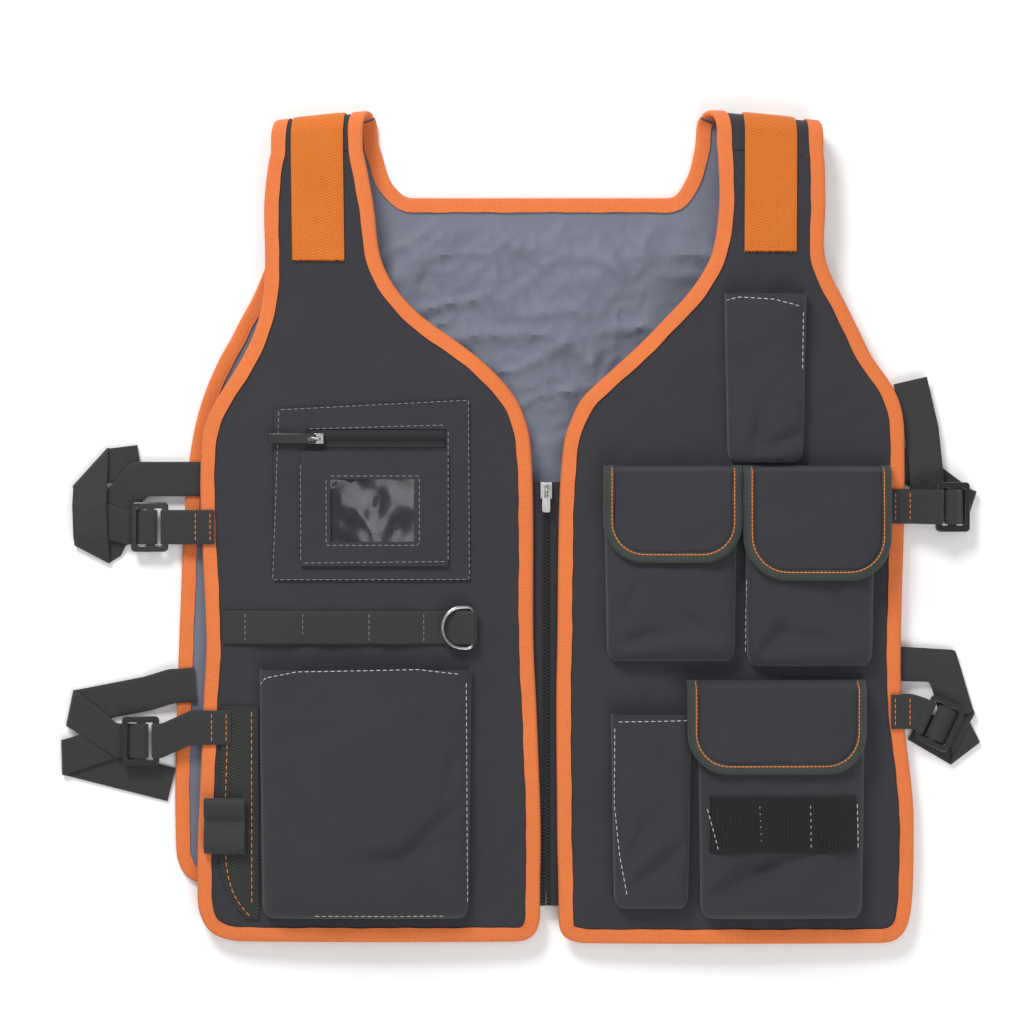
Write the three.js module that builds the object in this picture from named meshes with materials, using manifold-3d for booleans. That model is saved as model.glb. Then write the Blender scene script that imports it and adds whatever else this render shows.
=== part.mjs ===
// Utility work vest laid flat on its back: two open fronts over one back,
// joined at the shoulders, with pockets, side straps and buckles.
// Millimetres. X runs across the vest, Y from hem to shoulders, Z up from the surface it lies on.
// Left and right are as seen from above. X 0 is the middle of the whole laid-out vest with its straps.
import * as THREE from "three";
import openKernel from "manifold-3d";

const kernel = await openKernel();
kernel.setup();

// Main sizes of the vest
const VEST_LENGTH = 606;
const FRONT_WIDTH = 250;
const ZIP_X = 24.8;
const LOFT = 24;

// Cloth, trims and gaps
const CLOTH = 2;
const CLEAR = 0.35;
const NECK_CLEAR = 0.8;
const BIND_WIDTH = 10.5;
const BIND_WALL = 0.8;
const BAND_WIDTH = 37.5;
const BAND_WALL = 1.6;
const WEBBING_WALL = 1.4;
const STRAP_WIDTH = 25;

// Derived heights above the middle of a cloth wall
const HALF = CLOTH / 2;
const BIND_INNER = HALF + CLEAR;
const BIND_OUTER = BIND_INNER + BIND_WALL;
const EDGE_BUILD = CLEAR + BIND_WALL;
const BAND_INNER = HALF + CLEAR;
const BAND_OUTER = BAND_INNER + BAND_WALL;

// Levels of the back: flat under the body, lifted by the shoulder band under the shoulders
const BACK_LEVEL = BIND_OUTER;
const SHOULDER_LEVEL = BAND_OUTER + 0.1;
const SHOULDER_FLAT = 65;
const SHOULDER_RISE_LENGTH = 90;
const SEAM_DROP = 16.5;
const FOLD_RADIUS = (LOFT - SHOULDER_LEVEL) / 2;
const FOLD_TOP = VEST_LENGTH / 2 - BAND_OUTER;
const FOLD_CENTRE = FOLD_TOP - FOLD_RADIUS;
const SEAM_Y = FOLD_CENTRE - SEAM_DROP;
const FOLD_LENGTH = Math.PI * FOLD_RADIUS;
const SEAM_S = FOLD_CENTRE + FOLD_LENGTH + (FOLD_CENTRE - SEAM_Y);

// The shoulders slope down toward the arms
const SHOULDER_SLOPE = 0.1;
const SLOPE_START = 0.5;
const SLOPE_FADE = 60;

// Left front: cloth edge toward the zip and toward the arm, as shares of FRONT_WIDTH out from the zip line
const LEFT_FRONT = [
  { up: 0.0035, zip: 0.07, side: 0.9 },
  { up: 0.012, zip: 0.034, side: 0.965 },
  { up: 0.026, zip: 0.02, side: 0.995 },
  { up: 0.045, zip: 0.0175, side: 1.011 },
  { up: 0.0747, zip: 0.0175, side: 1.013 },
  { up: 0.12, zip: 0.0155, side: 1.012 },
  { up: 0.171, zip: 0.0175, side: 1.007 },
  { up: 0.2916, zip: 0.029, side: 0.9956 },
  { up: 0.364, zip: 0.037, side: 0.987 },
  { up: 0.5325, zip: 0.038, side: 1.004 },
  { up: 0.605, zip: 0.0467, side: 0.9985 },
  { up: 0.629, zip: 0.0613, side: 0.984 },
  { up: 0.653, zip: 0.0876, side: 0.9547 },
  { up: 0.677, zip: 0.134, side: 0.9168 },
  { up: 0.701, zip: 0.1956, side: 0.8818 },
  { up: 0.725, zip: 0.2745, side: 0.8526 },
  { up: 0.749, zip: 0.356, side: 0.832 },
  { up: 0.773, zip: 0.4146, side: 0.82 },
  { up: 0.7976, zip: 0.4555, side: 0.8146 },
  { up: 0.8265, zip: 0.482, side: 0.813 },
  { up: 0.884, zip: 0.499, side: 0.815 },
  { up: 0.952, zip: 0.53, side: 0.823 },
];

// Right front, in the same shares
const RIGHT_FRONT = [
  { up: 0.0015, zip: 0.11, side: 0.985 },
  { up: 0.008, zip: 0.055, side: 1.025 },
  { up: 0.022, zip: 0.038, side: 1.049 },
  { up: 0.045, zip: 0.036, side: 1.061 },
  { up: 0.0747, zip: 0.035, side: 1.0657 },
  { up: 0.12, zip: 0.032, side: 1.0675 },
  { up: 0.171, zip: 0.031, side: 1.0657 },
  { up: 0.2916, zip: 0.029, side: 1.0336 },
  { up: 0.364, zip: 0.032, side: 1.0307 },
  { up: 0.5325, zip: 0.038, side: 1.041 },
  { up: 0.605, zip: 0.0526, side: 1.0394 },
  { up: 0.629, zip: 0.073, side: 1.0365 },
  { up: 0.653, zip: 0.102, side: 1.022 },
  { up: 0.677, zip: 0.1635, side: 0.99 },
  { up: 0.701, zip: 0.2277, side: 0.946 },
  { up: 0.725, zip: 0.289, side: 0.917 },
  { up: 0.749, zip: 0.3445, side: 0.8876 },
  { up: 0.773, zip: 0.4, side: 0.858 },
  { up: 0.7976, zip: 0.444, side: 0.826 },
  { up: 0.8265, zip: 0.479, side: 0.803 },
  { up: 0.884, zip: 0.499, side: 0.806 },
  { up: 0.952, zip: 0.505, side: 0.806 },
];

// Back: outer and neck edges on both sides, as shares of FRONT_WIDTH out from the zip line.
// The binding is joined at the row marked join.
// Above the row marked neck the back is open between its neck edges.
const BACK = [
  { up: 0.069, left: 0.985, neckLeft: 0.37, neckRight: 0.3, right: 0.935 },
  { up: 0.077, left: 1.04, neckLeft: 0.37, neckRight: 0.3, right: 0.985 },
  { up: 0.091, left: 1.066, neckLeft: 0.37, neckRight: 0.3, right: 1.008 },
  { up: 0.111, left: 1.078, neckLeft: 0.37, neckRight: 0.3, right: 1.018 },
  { up: 0.219, left: 1.08, neckLeft: 0.37, neckRight: 0.3, right: 1.019 },
  { up: 0.412, left: 1.065, neckLeft: 0.37, neckRight: 0.3, right: 1.025 },
  { up: 0.5325, left: 1.051, neckLeft: 0.37, neckRight: 0.3, right: 1.0336 },
  { up: 0.605, left: 1.0307, neckLeft: 0.37, neckRight: 0.3, right: 1.0445 },
  { up: 0.653, left: 1.0015, neckLeft: 0.37, neckRight: 0.3, right: 1.0336 },
  { up: 0.701, left: 0.953, neckLeft: 0.37, neckRight: 0.3, right: 0.946, join: true },
  { up: 0.725, left: 0.9197, neckLeft: 0.37, neckRight: 0.3, right: 0.908 },
  { up: 0.749, left: 0.8905, neckLeft: 0.37, neckRight: 0.3, right: 0.8775 },
  { up: 0.773, left: 0.858, neckLeft: 0.37, neckRight: 0.3, right: 0.847 },
  { up: 0.7976, left: 0.832, neckLeft: 0.37, neckRight: 0.3, right: 0.82 },
  { up: 0.8265, left: 0.806, neckLeft: 0.375, neckRight: 0.305, right: 0.797 },
  { up: 0.855, left: 0.793, neckLeft: 0.385, neckRight: 0.32, right: 0.786 },
  { up: 0.895, left: 0.785, neckLeft: 0.415, neckRight: 0.378, right: 0.782, neck: true },
  { up: 0.91, left: 0.782, neckLeft: 0.448, neckRight: 0.4, right: 0.782 },
  { up: 0.925, left: 0.779, neckLeft: 0.465, neckRight: 0.418, right: 0.783 },
  { up: 0.942, left: 0.774, neckLeft: 0.476, neckRight: 0.428, right: 0.784 },
  { up: 0.962, left: 0.77, neckLeft: 0.492, neckRight: 0.438, right: 0.785 },
];
// Where the back's edges lie at the top of the fold and at the seam, in the same shares
const FOLD_EDGES = { left: 0.795, neckLeft: 0.53, neckRight: 0.492, right: 0.8 };
const FOLD_STEPS = 8;

// Height of the fronts' middle surface as shares of LOFT, across from the zip edge to the arm edge
const FRONT_HEIGHT = [
  { up: 0, zip: 0.46, mid: 0.6, side: 0.42 },
  { up: 0.06, zip: 0.49, mid: 0.68, side: 0.42 },
  { up: 0.12, zip: 0.51, mid: 0.75, side: 0.42 },
  { up: 0.25, zip: 0.54, mid: 0.82, side: 0.4 },
  { up: 0.4, zip: 0.57, mid: 0.87, side: 0.42 },
  { up: 0.55, zip: 0.62, mid: 0.9, side: 0.46 },
  { up: 0.65, zip: 0.72, mid: 0.93, side: 0.56 },
  { up: 0.75, zip: 0.85, mid: 0.96, side: 0.74 },
  { up: 0.85, zip: 0.96, mid: 1, side: 0.93 },
  { up: 0.92, zip: 1, mid: 1, side: 1 },
  { up: 1, zip: 1, mid: 1, side: 1 },
];

// Soft folds of the back that show between the fronts: middle, direction in degrees, length, width, rise
const LINING_FOLDS = [
  { x: 0.1, up: 0.78, angle: 33, length: 0.62, width: 0.12, rise: 0.3 },
  { x: -0.02, up: 0.69, angle: 47, length: 0.42, width: 0.09, rise: 0.2 },
  { x: 0.34, up: 0.735, angle: -28, length: 0.3, width: 0.08, rise: 0.14 },
  { x: -0.22, up: 0.8, angle: -12, length: 0.3, width: 0.08, rise: 0.16 },
];

const FLIP = { left: -1, right: 1 };
const upToY = (up) => (up - 0.5) * VEST_LENGTH;
const yToUp = (y) => y / VEST_LENGTH + 0.5;
const clamp = (value, low, high) => Math.min(high, Math.max(low, value));
const smooth = (value) => {
  const t = clamp(value, 0, 1);
  return t * t * (3 - 2 * t);
};

// Reads a column of a table at a height share, through a smooth curve that passes every row
function read(table, column, up) {
  const last = table.length - 1;
  if (up <= table[0].up) return table[0][column];
  if (up >= table[last].up) return table[last][column];
  const k = table.findIndex((row) => row.up > up) - 1;
  const span = table[k + 1].up - table[k].up;
  const t = (up - table[k].up) / span;
  const slope = (i) => {
    const a = table[Math.max(i - 1, 0)];
    const b = table[Math.min(i + 1, last)];
    return (b[column] - a[column]) / (b.up - a.up);
  };
  const p0 = table[k][column];
  const p1 = table[k + 1][column];
  const m0 = slope(k) * span;
  const m1 = slope(k + 1) * span;
  return (2 * t ** 3 - 3 * t ** 2 + 1) * p0 + (t ** 3 - 2 * t ** 2 + t) * m0
    + (3 * t ** 2 - 2 * t ** 3) * p1 + (t ** 3 - t ** 2) * m1;
}

// Meshes

// Volume of a triangle list, positive when its faces look outward
function volumeOf(points, faces) {
  let sum = 0;
  for (const [a, b, c] of faces) {
    sum += points[a].dot(new THREE.Vector3().crossVectors(points[b], points[c]));
  }
  return sum / 6;
}

function geometryOf(points, faces) {
  const outward = volumeOf(points, faces) >= 0;
  const geometry = new THREE.BufferGeometry();
  const places = points.flatMap((p) => [p.x, p.y, p.z]);
  geometry.setAttribute("position", new THREE.Float32BufferAttribute(places, 3));
  geometry.setIndex(faces.flatMap(([a, b, c]) => (outward ? [a, b, c] : [a, c, b])));
  geometry.computeVertexNormals();
  return geometry;
}

// A closed wall between two grids of points, with the cells left open where present is false
function shell(outer, inner, present = () => true) {
  const rows = outer.length;
  const columns = outer[0].length;
  const used = new Map();
  const points = [];
  const faces = [];
  const at = (side, i, j) => {
    const key = (side * rows + i) * columns + j;
    if (!used.has(key)) {
      used.set(key, points.length);
      points.push(side ? inner[i][j] : outer[i][j]);
    }
    return used.get(key);
  };
  const quad = (a, b, c, d) => faces.push([a, b, c], [a, c, d]);
  const solid = (i, j) => i >= 0 && j >= 0 && i < rows - 1 && j < columns - 1 && present(i, j);
  for (let i = 0; i < rows - 1; i += 1) {
    for (let j = 0; j < columns - 1; j += 1) {
      if (!solid(i, j)) continue;
      quad(at(0, i, j), at(0, i, j + 1), at(0, i + 1, j + 1), at(0, i + 1, j));
      quad(at(1, i, j), at(1, i + 1, j), at(1, i + 1, j + 1), at(1, i, j + 1));
      if (!solid(i - 1, j)) quad(at(0, i, j + 1), at(0, i, j), at(1, i, j), at(1, i, j + 1));
      if (!solid(i + 1, j)) quad(at(0, i + 1, j), at(0, i + 1, j + 1), at(1, i + 1, j + 1), at(1, i + 1, j));
      if (!solid(i, j - 1)) quad(at(0, i, j), at(0, i + 1, j), at(1, i + 1, j), at(1, i, j));
      if (solid(i, j + 1)) continue;
      quad(at(0, i + 1, j + 1), at(0, i, j + 1), at(1, i, j + 1), at(1, i + 1, j + 1));
    }
  }
  return geometryOf(points, faces);
}

// A section carried through a list of rings of the same point count; closed joins the last to the first
function sweep(rings, closed = false) {
  const size = rings[0].length;
  const points = rings.flat();
  const faces = [];
  const steps = closed ? rings.length : rings.length - 1;
  for (let k = 0; k < steps; k += 1) {
    const next = (k + 1) % rings.length;
    for (let i = 0; i < size; i += 1) {
      const j = (i + 1) % size;
      faces.push([k * size + i, k * size + j, next * size + j], [k * size + i, next * size + j, next * size + i]);
    }
  }
  return { points, faces, size };
}

// A swept section with flat ends, whose section outline is given in its own plane for the end faces
function sweptSolid(rings, section) {
  const { points, faces, size } = sweep(rings);
  const caps = THREE.ShapeUtils.triangulateShape(section.map(([u, v]) => new THREE.Vector2(u, v)), []);
  const end = (rings.length - 1) * size;
  for (const [a, b, c] of caps) faces.push([a, c, b], [end + a, end + b, end + c]);
  return { points, faces };
}

// Garment surfaces

// Height of the fronts' middle surface above the surface the vest lies on
function frontHeight(x, y) {
  const side = x < ZIP_X ? LEFT_FRONT : RIGHT_FRONT;
  const up = clamp(yToUp(y), 0, 1);
  const out = Math.abs(x - ZIP_X) / FRONT_WIDTH;
  const zip = read(side, "zip", up);
  const edge = read(side, "side", up);
  const t = clamp((out - zip) / (edge - zip), 0, 1);
  const a = read(FRONT_HEIGHT, "zip", up);
  const m = read(FRONT_HEIGHT, "mid", up);
  const b = read(FRONT_HEIGHT, "side", up);
  return LOFT * (a * (1 - t) * (1 - 2 * t) + 4 * m * t * (1 - t) + b * t * (2 * t - 1));
}

// How far the shoulders fall toward the arms at a place
function slopeDrop(x, y) {
  const out = Math.max(0, Math.abs(x - ZIP_X) - SLOPE_START * FRONT_WIDTH);
  return SHOULDER_SLOPE * out * smooth(1 - (FOLD_CENTRE - y) / SLOPE_FADE);
}

// Rise of the lining folds of the back
function liningRise(x, y) {
  const fade = smooth((upToY(0.885) - y) / 35) * smooth((y - upToY(0.56)) / 60);
  if (fade <= 0) return 0;
  let rise = 0;
  for (const fold of LINING_FOLDS) {
    const dx = x - (ZIP_X + fold.x * FRONT_WIDTH);
    const dy = y - upToY(fold.up);
    const angle = THREE.MathUtils.degToRad(fold.angle);
    const along = (dx * Math.cos(angle) + dy * Math.sin(angle)) / (fold.length * FRONT_WIDTH / 2);
    const across = (dy * Math.cos(angle) - dx * Math.sin(angle)) / (fold.width * FRONT_WIDTH);
    rise += fold.rise * LOFT * Math.exp(-(across ** 2)) * smooth(1.15 - Math.abs(along));
  }
  return rise * fade;
}

// A place on the garment: s runs up the back, over the shoulder and down the fronts, h is outward
function place(x, s, h) {
  if (s <= FOLD_CENTRE) {
    const rise = smooth(1 - (FOLD_CENTRE - SHOULDER_FLAT - s) / SHOULDER_RISE_LENGTH);
    const level = BACK_LEVEL + (SHOULDER_LEVEL - BACK_LEVEL) * rise + liningRise(x, s);
    return new THREE.Vector3(x, s - slopeDrop(x, s), level - h);
  }
  if (s <= FOLD_CENTRE + FOLD_LENGTH) {
    const turn = (s - FOLD_CENTRE) / FOLD_RADIUS;
    const radius = FOLD_RADIUS + h;
    const y = FOLD_CENTRE + radius * Math.sin(turn);
    const z = SHOULDER_LEVEL + FOLD_RADIUS - radius * Math.cos(turn);
    return new THREE.Vector3(x, y - slopeDrop(x, FOLD_CENTRE), z);
  }
  const y = 2 * FOLD_CENTRE + FOLD_LENGTH - s;
  return new THREE.Vector3(x, y - slopeDrop(x, y), frontHeight(x, y) + h);
}

const frontS = (y) => 2 * FOLD_CENTRE + FOLD_LENGTH - y;

// A panel of the garment: a grid of [x, s] places with a cloth wall about its middle surface
function panel(grid, present, low = -HALF, high = HALF) {
  const layer = (h) => grid.map((row) => row.map(([x, s]) => place(x, s, h)));
  return shell(layer(high), layer(low), present);
}

// Unit normals of a path of [x, s] places, to its left, stretched at corners so the width holds
function mitres(path) {
  return path.map((point, k) => {
    const a = path[Math.max(k - 1, 0)];
    const b = path[Math.min(k + 1, path.length - 1)];
    const one = new THREE.Vector2(point[0] - a[0], point[1] - a[1]);
    const two = new THREE.Vector2(b[0] - point[0], b[1] - point[1]);
    if (one.length() < 1e-6) one.copy(two);
    if (two.length() < 1e-6) two.copy(one);
    one.normalize();
    two.normalize();
    const normal = new THREE.Vector2(-(one.y + two.y), one.x + two.x).normalize();
    const stretch = Math.min(1.6, 1 / Math.max(0.3, normal.dot(new THREE.Vector2(-one.y, one.x))));
    return normal.multiplyScalar(stretch);
  });
}

// The folded strip that wraps a cloth edge; the cloth lies to the left of the path
function channel(at, path, width, half, wall, clear) {
  const inner = half + clear;
  const outer = inner + wall;
  const section = [
    [width, outer], [0, outer], [0, -outer], [width, -outer],
    [width, -inner], [wall, -inner], [wall, inner], [width, inner],
  ];
  const normals = mitres(path);
  const rings = path.map(([x, s], k) => section.map(([inset, h]) => {
    const d = inset - clear - wall;
    return at(x + normals[k].x * d, s + normals[k].y * d, h);
  }));
  const { points, faces } = sweptSolid(rings, section);
  return geometryOf(points, faces);
}

// Cuts a path to shorter steps so that a strip on it follows the surface
function divide(path, step) {
  const out = [path[0]];
  for (let k = 1; k < path.length; k += 1) {
    const [x0, s0] = path[k - 1];
    const [x1, s1] = path[k];
    const count = Math.max(1, Math.round(Math.hypot(x1 - x0, s1 - s0) / step));
    for (let i = 1; i <= count; i += 1) {
      out.push([x0 + (x1 - x0) * i / count, s0 + (s1 - s0) * i / count]);
    }
  }
  return out;
}

// Colours and surfaces
const FINISHES = {
  cloth: { color: 0x403f44, roughness: 0.85 },
  lining: { color: 0x737a88, roughness: 0.7 },
  binding: { color: 0xe8743a, roughness: 0.8 },
  shoulder: { color: 0xef7d1a, roughness: 0.75 },
  webbing: { color: 0x2c2d2e, roughness: 0.7 },
  trim: { color: 0x2f3a34, roughness: 0.75 },
  tape: { color: 0x202124, roughness: 0.8 },
  plastic: { color: 0x17181a, roughness: 0.3 },
  vinyl: { color: 0x5a5a6c, roughness: 0.12 },
  metal: { color: 0xb9bcc0, roughness: 0.25, metalness: 1 },
};

const vest = new THREE.Group();
vest.name = "utility_work_vest";

function add(name, geometry, finish) {
  const { color, roughness, metalness = 0 } = FINISHES[finish];
  const mesh = new THREE.Mesh(geometry, new THREE.MeshStandardMaterial({ color, roughness, metalness }));
  mesh.name = name;
  vest.add(mesh);
  return mesh;
}

// Back panel

const BACK_COLUMNS = { strap: 3, middle: 10 };

// The rows of the back: its table below the fold, then the steps of the fold and the seam
function backRows() {
  const rows = BACK.map((row) => ({ ...row, s: upToY(row.up) }));
  const before = rows[rows.length - 1];
  for (let k = 0; k <= FOLD_STEPS; k += 1) {
    const t = smooth(k / FOLD_STEPS);
    const row = { s: FOLD_CENTRE + FOLD_LENGTH * k / FOLD_STEPS };
    for (const edge of ["left", "neckLeft", "neckRight", "right"]) {
      row[edge] = before[edge] + (FOLD_EDGES[edge] - before[edge]) * t;
    }
    rows.push(row);
  }
  rows.push({ ...FOLD_EDGES, s: SEAM_S - CLEAR });
  return rows;
}

const BACK_ROWS = backRows();
const NECK_ROW = BACK_ROWS.findIndex((row) => row.neck);

const backGrid = BACK_ROWS.map((row, k) => {
  const left = ZIP_X - row.left * FRONT_WIDTH + EDGE_BUILD;
  const right = ZIP_X + row.right * FRONT_WIDTH - EDGE_BUILD;
  const open = k > NECK_ROW ? EDGE_BUILD : 0;
  const neckLeft = ZIP_X - row.neckLeft * FRONT_WIDTH - open;
  const neckRight = ZIP_X + row.neckRight * FRONT_WIDTH + open;
  const s = row.s + (k === 0 ? EDGE_BUILD : 0) - (k === NECK_ROW ? EDGE_BUILD : 0);
  const spread = (a, b, count) => Array.from({ length: count }, (_, i) => [a + (b - a) * i / count, s]);
  return [
    ...spread(left, neckLeft, BACK_COLUMNS.strap),
    ...spread(neckLeft, neckRight, BACK_COLUMNS.middle),
    ...spread(neckRight, right, BACK_COLUMNS.strap),
    [right, s],
  ];
});
const backPresent = (i, j) => i < NECK_ROW
  || j < BACK_COLUMNS.strap || j >= BACK_COLUMNS.strap + BACK_COLUMNS.middle;
add("back_panel", panel(backGrid, backPresent), "lining");

// Binding along the outer edge of the back: one length round the hem and sides, and one over each shoulder
const lastColumn = backGrid[0].length - 1;
const column = (grid, j, from = 0, to = grid.length) => grid.slice(from, to).map((row) => row[j]);
const joinRow = BACK.findIndex((row) => row.join);
const JOIN_GAP = 1.6;
const below = (j) => {
  const [[x0, s0], [x1, s1]] = [backGrid[joinRow][j], backGrid[joinRow - 1][j]];
  const t = JOIN_GAP / (s0 - s1);
  return [x0 + (x1 - x0) * t, s0 + (s1 - s0) * t];
};
const hemOutline = [
  below(0),
  ...column(backGrid, 0, 0, joinRow).reverse(),
  ...backGrid[0].slice(1, lastColumn),
  ...column(backGrid, lastColumn, 0, joinRow),
  below(lastColumn),
];
const backBinding = (path) => channel(place, path, BIND_WIDTH, HALF, BIND_WALL, CLEAR);
add("back_binding_hem", backBinding(hemOutline), "binding");
add("back_binding_left", backBinding(column(backGrid, 0, joinRow).reverse()), "binding");
add("back_binding_right", backBinding(column(backGrid, lastColumn, joinRow)), "binding");

// Binding along the neck edge of the back, from seam to seam
const neckOutline = [
  ...column(backGrid, BACK_COLUMNS.strap + BACK_COLUMNS.middle, NECK_ROW).reverse(),
  ...backGrid[NECK_ROW].slice(BACK_COLUMNS.strap + 1, BACK_COLUMNS.strap + BACK_COLUMNS.middle).reverse(),
  ...column(backGrid, BACK_COLUMNS.strap, NECK_ROW),
];
add("neck_binding", channel(place, neckOutline, BIND_WIDTH, HALF, BIND_WALL, NECK_CLEAR), "binding");

// Front panels

const FRONT_COLUMNS = 8;

function frontGrid(table, flip) {
  return table.map((row, k) => {
    const y = k === table.length - 1 ? SEAM_Y - CLEAR : upToY(row.up) + (k === 0 ? EDGE_BUILD : 0);
    const a = ZIP_X + flip * (row.zip * FRONT_WIDTH + EDGE_BUILD);
    const b = ZIP_X + flip * (row.side * FRONT_WIDTH - EDGE_BUILD);
    return Array.from({ length: FRONT_COLUMNS + 1 }, (_, j) => [a + (b - a) * j / FRONT_COLUMNS, frontS(y)]);
  });
}

function buildFront(name, table, flip) {
  const grid = frontGrid(table, flip);
  add(`front_panel_${name}`, panel(grid), "cloth");
  const outline = [
    ...column(grid, 0).reverse(),
    ...grid[0].slice(1, FRONT_COLUMNS),
    ...column(grid, FRONT_COLUMNS),
  ];
  const path = flip < 0 ? outline : outline.reverse();
  add(`front_binding_${name}`, channel(place, path, BIND_WIDTH, HALF, BIND_WALL, CLEAR), "binding");
}
buildFront("left", LEFT_FRONT, FLIP.left);
buildFront("right", RIGHT_FRONT, FLIP.right);

// Shoulder bands of webbing, over the fold from the back to the chest

const BANDS = {
  left: { front: 0.818, ends: 0.658, top: 0.662, back: 0.65 },
  right: { front: 0.829, ends: 0.647, top: 0.648, back: 0.64 },
};
const BAND_BACK_LENGTH = 60;

function buildBand(name, { front, ends, top, back }) {
  const flip = FLIP[name];
  const half = BAND_WIDTH / 2;
  const rows = [];
  const row = (s, share) => {
    const x = ZIP_X + flip * share * FRONT_WIDTH;
    rows.push([-half, -half / 3, half / 3, half].map((d) => [x + d, s]));
  };
  for (let k = 0; k < 3; k += 1) row(FOLD_CENTRE - BAND_BACK_LENGTH * (1 - k / 3), back);
  for (let k = 0; k <= FOLD_STEPS; k += 1) {
    row(FOLD_CENTRE + FOLD_LENGTH * k / FOLD_STEPS, back + (top - back) * k / FOLD_STEPS);
  }
  const end = upToY(front);
  for (let k = 1; k <= 5; k += 1) {
    row(frontS(SEAM_Y + (end - SEAM_Y) * (k - 1) / 4), top + (ends - top) * (k - 1) / 4);
  }
  add(`shoulder_band_${name}`, panel(rows, undefined, BAND_INNER, BAND_OUTER), "shoulder");
}
buildBand("left", BANDS.left);
buildBand("right", BANDS.right);

// Places on the fronts

const onFront = (x, y, h) => place(x, frontS(y), h);
const outToX = (out) => ZIP_X + out * FRONT_WIDTH;

// A flat piece sewn on a front: rows of x places by height, low and high above the cloth's middle
function flatPiece(xs, ys, low, high, present) {
  const layer = (h) => ys.map((y, i) => xs(i).map((x) => onFront(x, y, h)));
  return shell(layer(high), layer(low), present);
}
const between = (a, b, count) => Array.from({ length: count + 1 }, (_, i) => a + (b - a) * i / count);

// Pockets

const PATCH_GAP = 0.5;
const POCKET_WALL = 1.6;
const ARCH_POWER = 4;
const ARCH_STEPS = 8;
const FOOT_STEPS = 3;

// Place across and along as shares of FRONT_WIDTH and VEST_LENGTH; depths as shares of LOFT
const POCKETS = {
  cargo_pouch: { x: -0.523, width: 0.613, foot: 0.0325, mouth: 0.33, deep: 0.76, lip: 0.56, run: 0.12 },
  pen_pouch: { x: 0.632, width: 0.236, foot: 0.5768, mouth: 0.777, deep: 0.5, lip: 0.52, run: 0.08 },
  flap_pouch_left: { x: 0.359, width: 0.385, foot: 0.34, mouth: 0.5627, deep: 0.68, lip: 0.5, run: 0.12 },
  flap_pouch_right: { x: 0.761, width: 0.3825, foot: 0.334, mouth: 0.5627, deep: 0.68, lip: 0.5, run: 0.12 },
  slim_pouch: { x: 0.303, width: 0.232, foot: 0.0446, mouth: 0.277, deep: 0.56, lip: 0.46, run: 0.1 },
  tool_pouch: { x: 0.68, width: 0.485, foot: 0.0325, mouth: 0.3036, deep: 0.8, lip: 0.62, run: 0.12 },
};

const archAt = (u) => Math.max(0, 1 - Math.abs(u) ** ARCH_POWER) ** (1 / ARCH_POWER);
const archSpots = Array.from({ length: ARCH_STEPS + 1 }, (_, i) => {
  const turn = Math.PI * (1 - i / ARCH_STEPS);
  const c = Math.cos(turn);
  return Math.abs(c) < 1e-9 ? 0 : Math.sign(c) * Math.abs(c) ** (2 / ARCH_POWER);
});

// Depth of a pocket at a height, past its rounded foot
function pocketDepth({ foot, mouth, deep, lip }, y) {
  const t = clamp((y - upToY(foot)) / (upToY(mouth) - upToY(foot)), 0, 1);
  return LOFT * (deep + (lip - deep) * smooth((t - 0.25) / 0.75));
}

function pocketRows({ foot, mouth, run }) {
  const low = upToY(foot);
  const high = upToY(mouth);
  const round = run * (high - low);
  const rows = Array.from({ length: FOOT_STEPS + 1 }, (_, i) => {
    const turn = (Math.PI / 2) * i / FOOT_STEPS;
    return { y: low + round * (1 - Math.cos(turn)), full: Math.sin(turn) ** 0.7 };
  });
  for (let k = 1; k <= 4; k += 1) rows.push({ y: low + round + (high - low - round) * k / 4, full: 1 });
  return rows;
}

function pocketShell(pocket) {
  const half = pocket.width * FRONT_WIDTH / 2;
  const rows = pocketRows(pocket);
  const low = upToY(pocket.foot);
  const span = upToY(pocket.mouth) - low;
  const layer = (wall) => rows.map(({ y, full }) => {
    const inner = y + wall * (1 - (y - low) / span);
    const depth = Math.max(0, pocketDepth(pocket, y) - wall) * full;
    return archSpots.map((u) => {
      const x = outToX(pocket.x) + u * (half - wall);
      return onFront(x, inner, HALF + PATCH_GAP + depth * archAt(u));
    });
  });
  return shell(layer(0), layer(POCKET_WALL));
}
for (const [name, pocket] of Object.entries(POCKETS)) add(name, pocketShell(pocket), "cloth");

// Flaps over three pockets

const FLAP_WALL = 1.8;
const FLAP_BIND_WIDTH = 7.5;
const FLAP_BIND_WALL = 0.6;
const FLAP_BIND_CLEAR = 0.9;
const FLAP_STAND = FLAP_WALL / 2 + FLAP_BIND_CLEAR + FLAP_BIND_WALL + 0.9;
const FLAP_SPREAD = 1.06;

const FLAPS = {
  left: { over: "flap_pouch_left", x: 0.3636, width: 0.388, top: 0.5735, tip: 0.46, round: 0.11 },
  right: { over: "flap_pouch_right", x: 0.781, width: 0.42, top: 0.5735, tip: 0.439, round: 0.12 },
  tool: { over: "tool_pouch", x: 0.664, width: 0.506, top: 0.318, tip: 0.2096, round: 0.11 },
};

// Middle of a flap above the front's middle surface
function flapPlace(flap, x, y, h) {
  const pocket = POCKETS[flap.over];
  const u = (x - outToX(flap.x)) / (flap.width * FRONT_WIDTH / 2 * FLAP_SPREAD);
  const mouth = upToY(pocket.mouth);
  const fall = smooth(1 - (y - mouth - 1.5) / (upToY(flap.top) - mouth - 1.5));
  const depth = pocketDepth(pocket, y) * (y > mouth ? fall : 1);
  return onFront(x, y, HALF + PATCH_GAP + depth * archAt(u) + FLAP_STAND + h);
}

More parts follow.
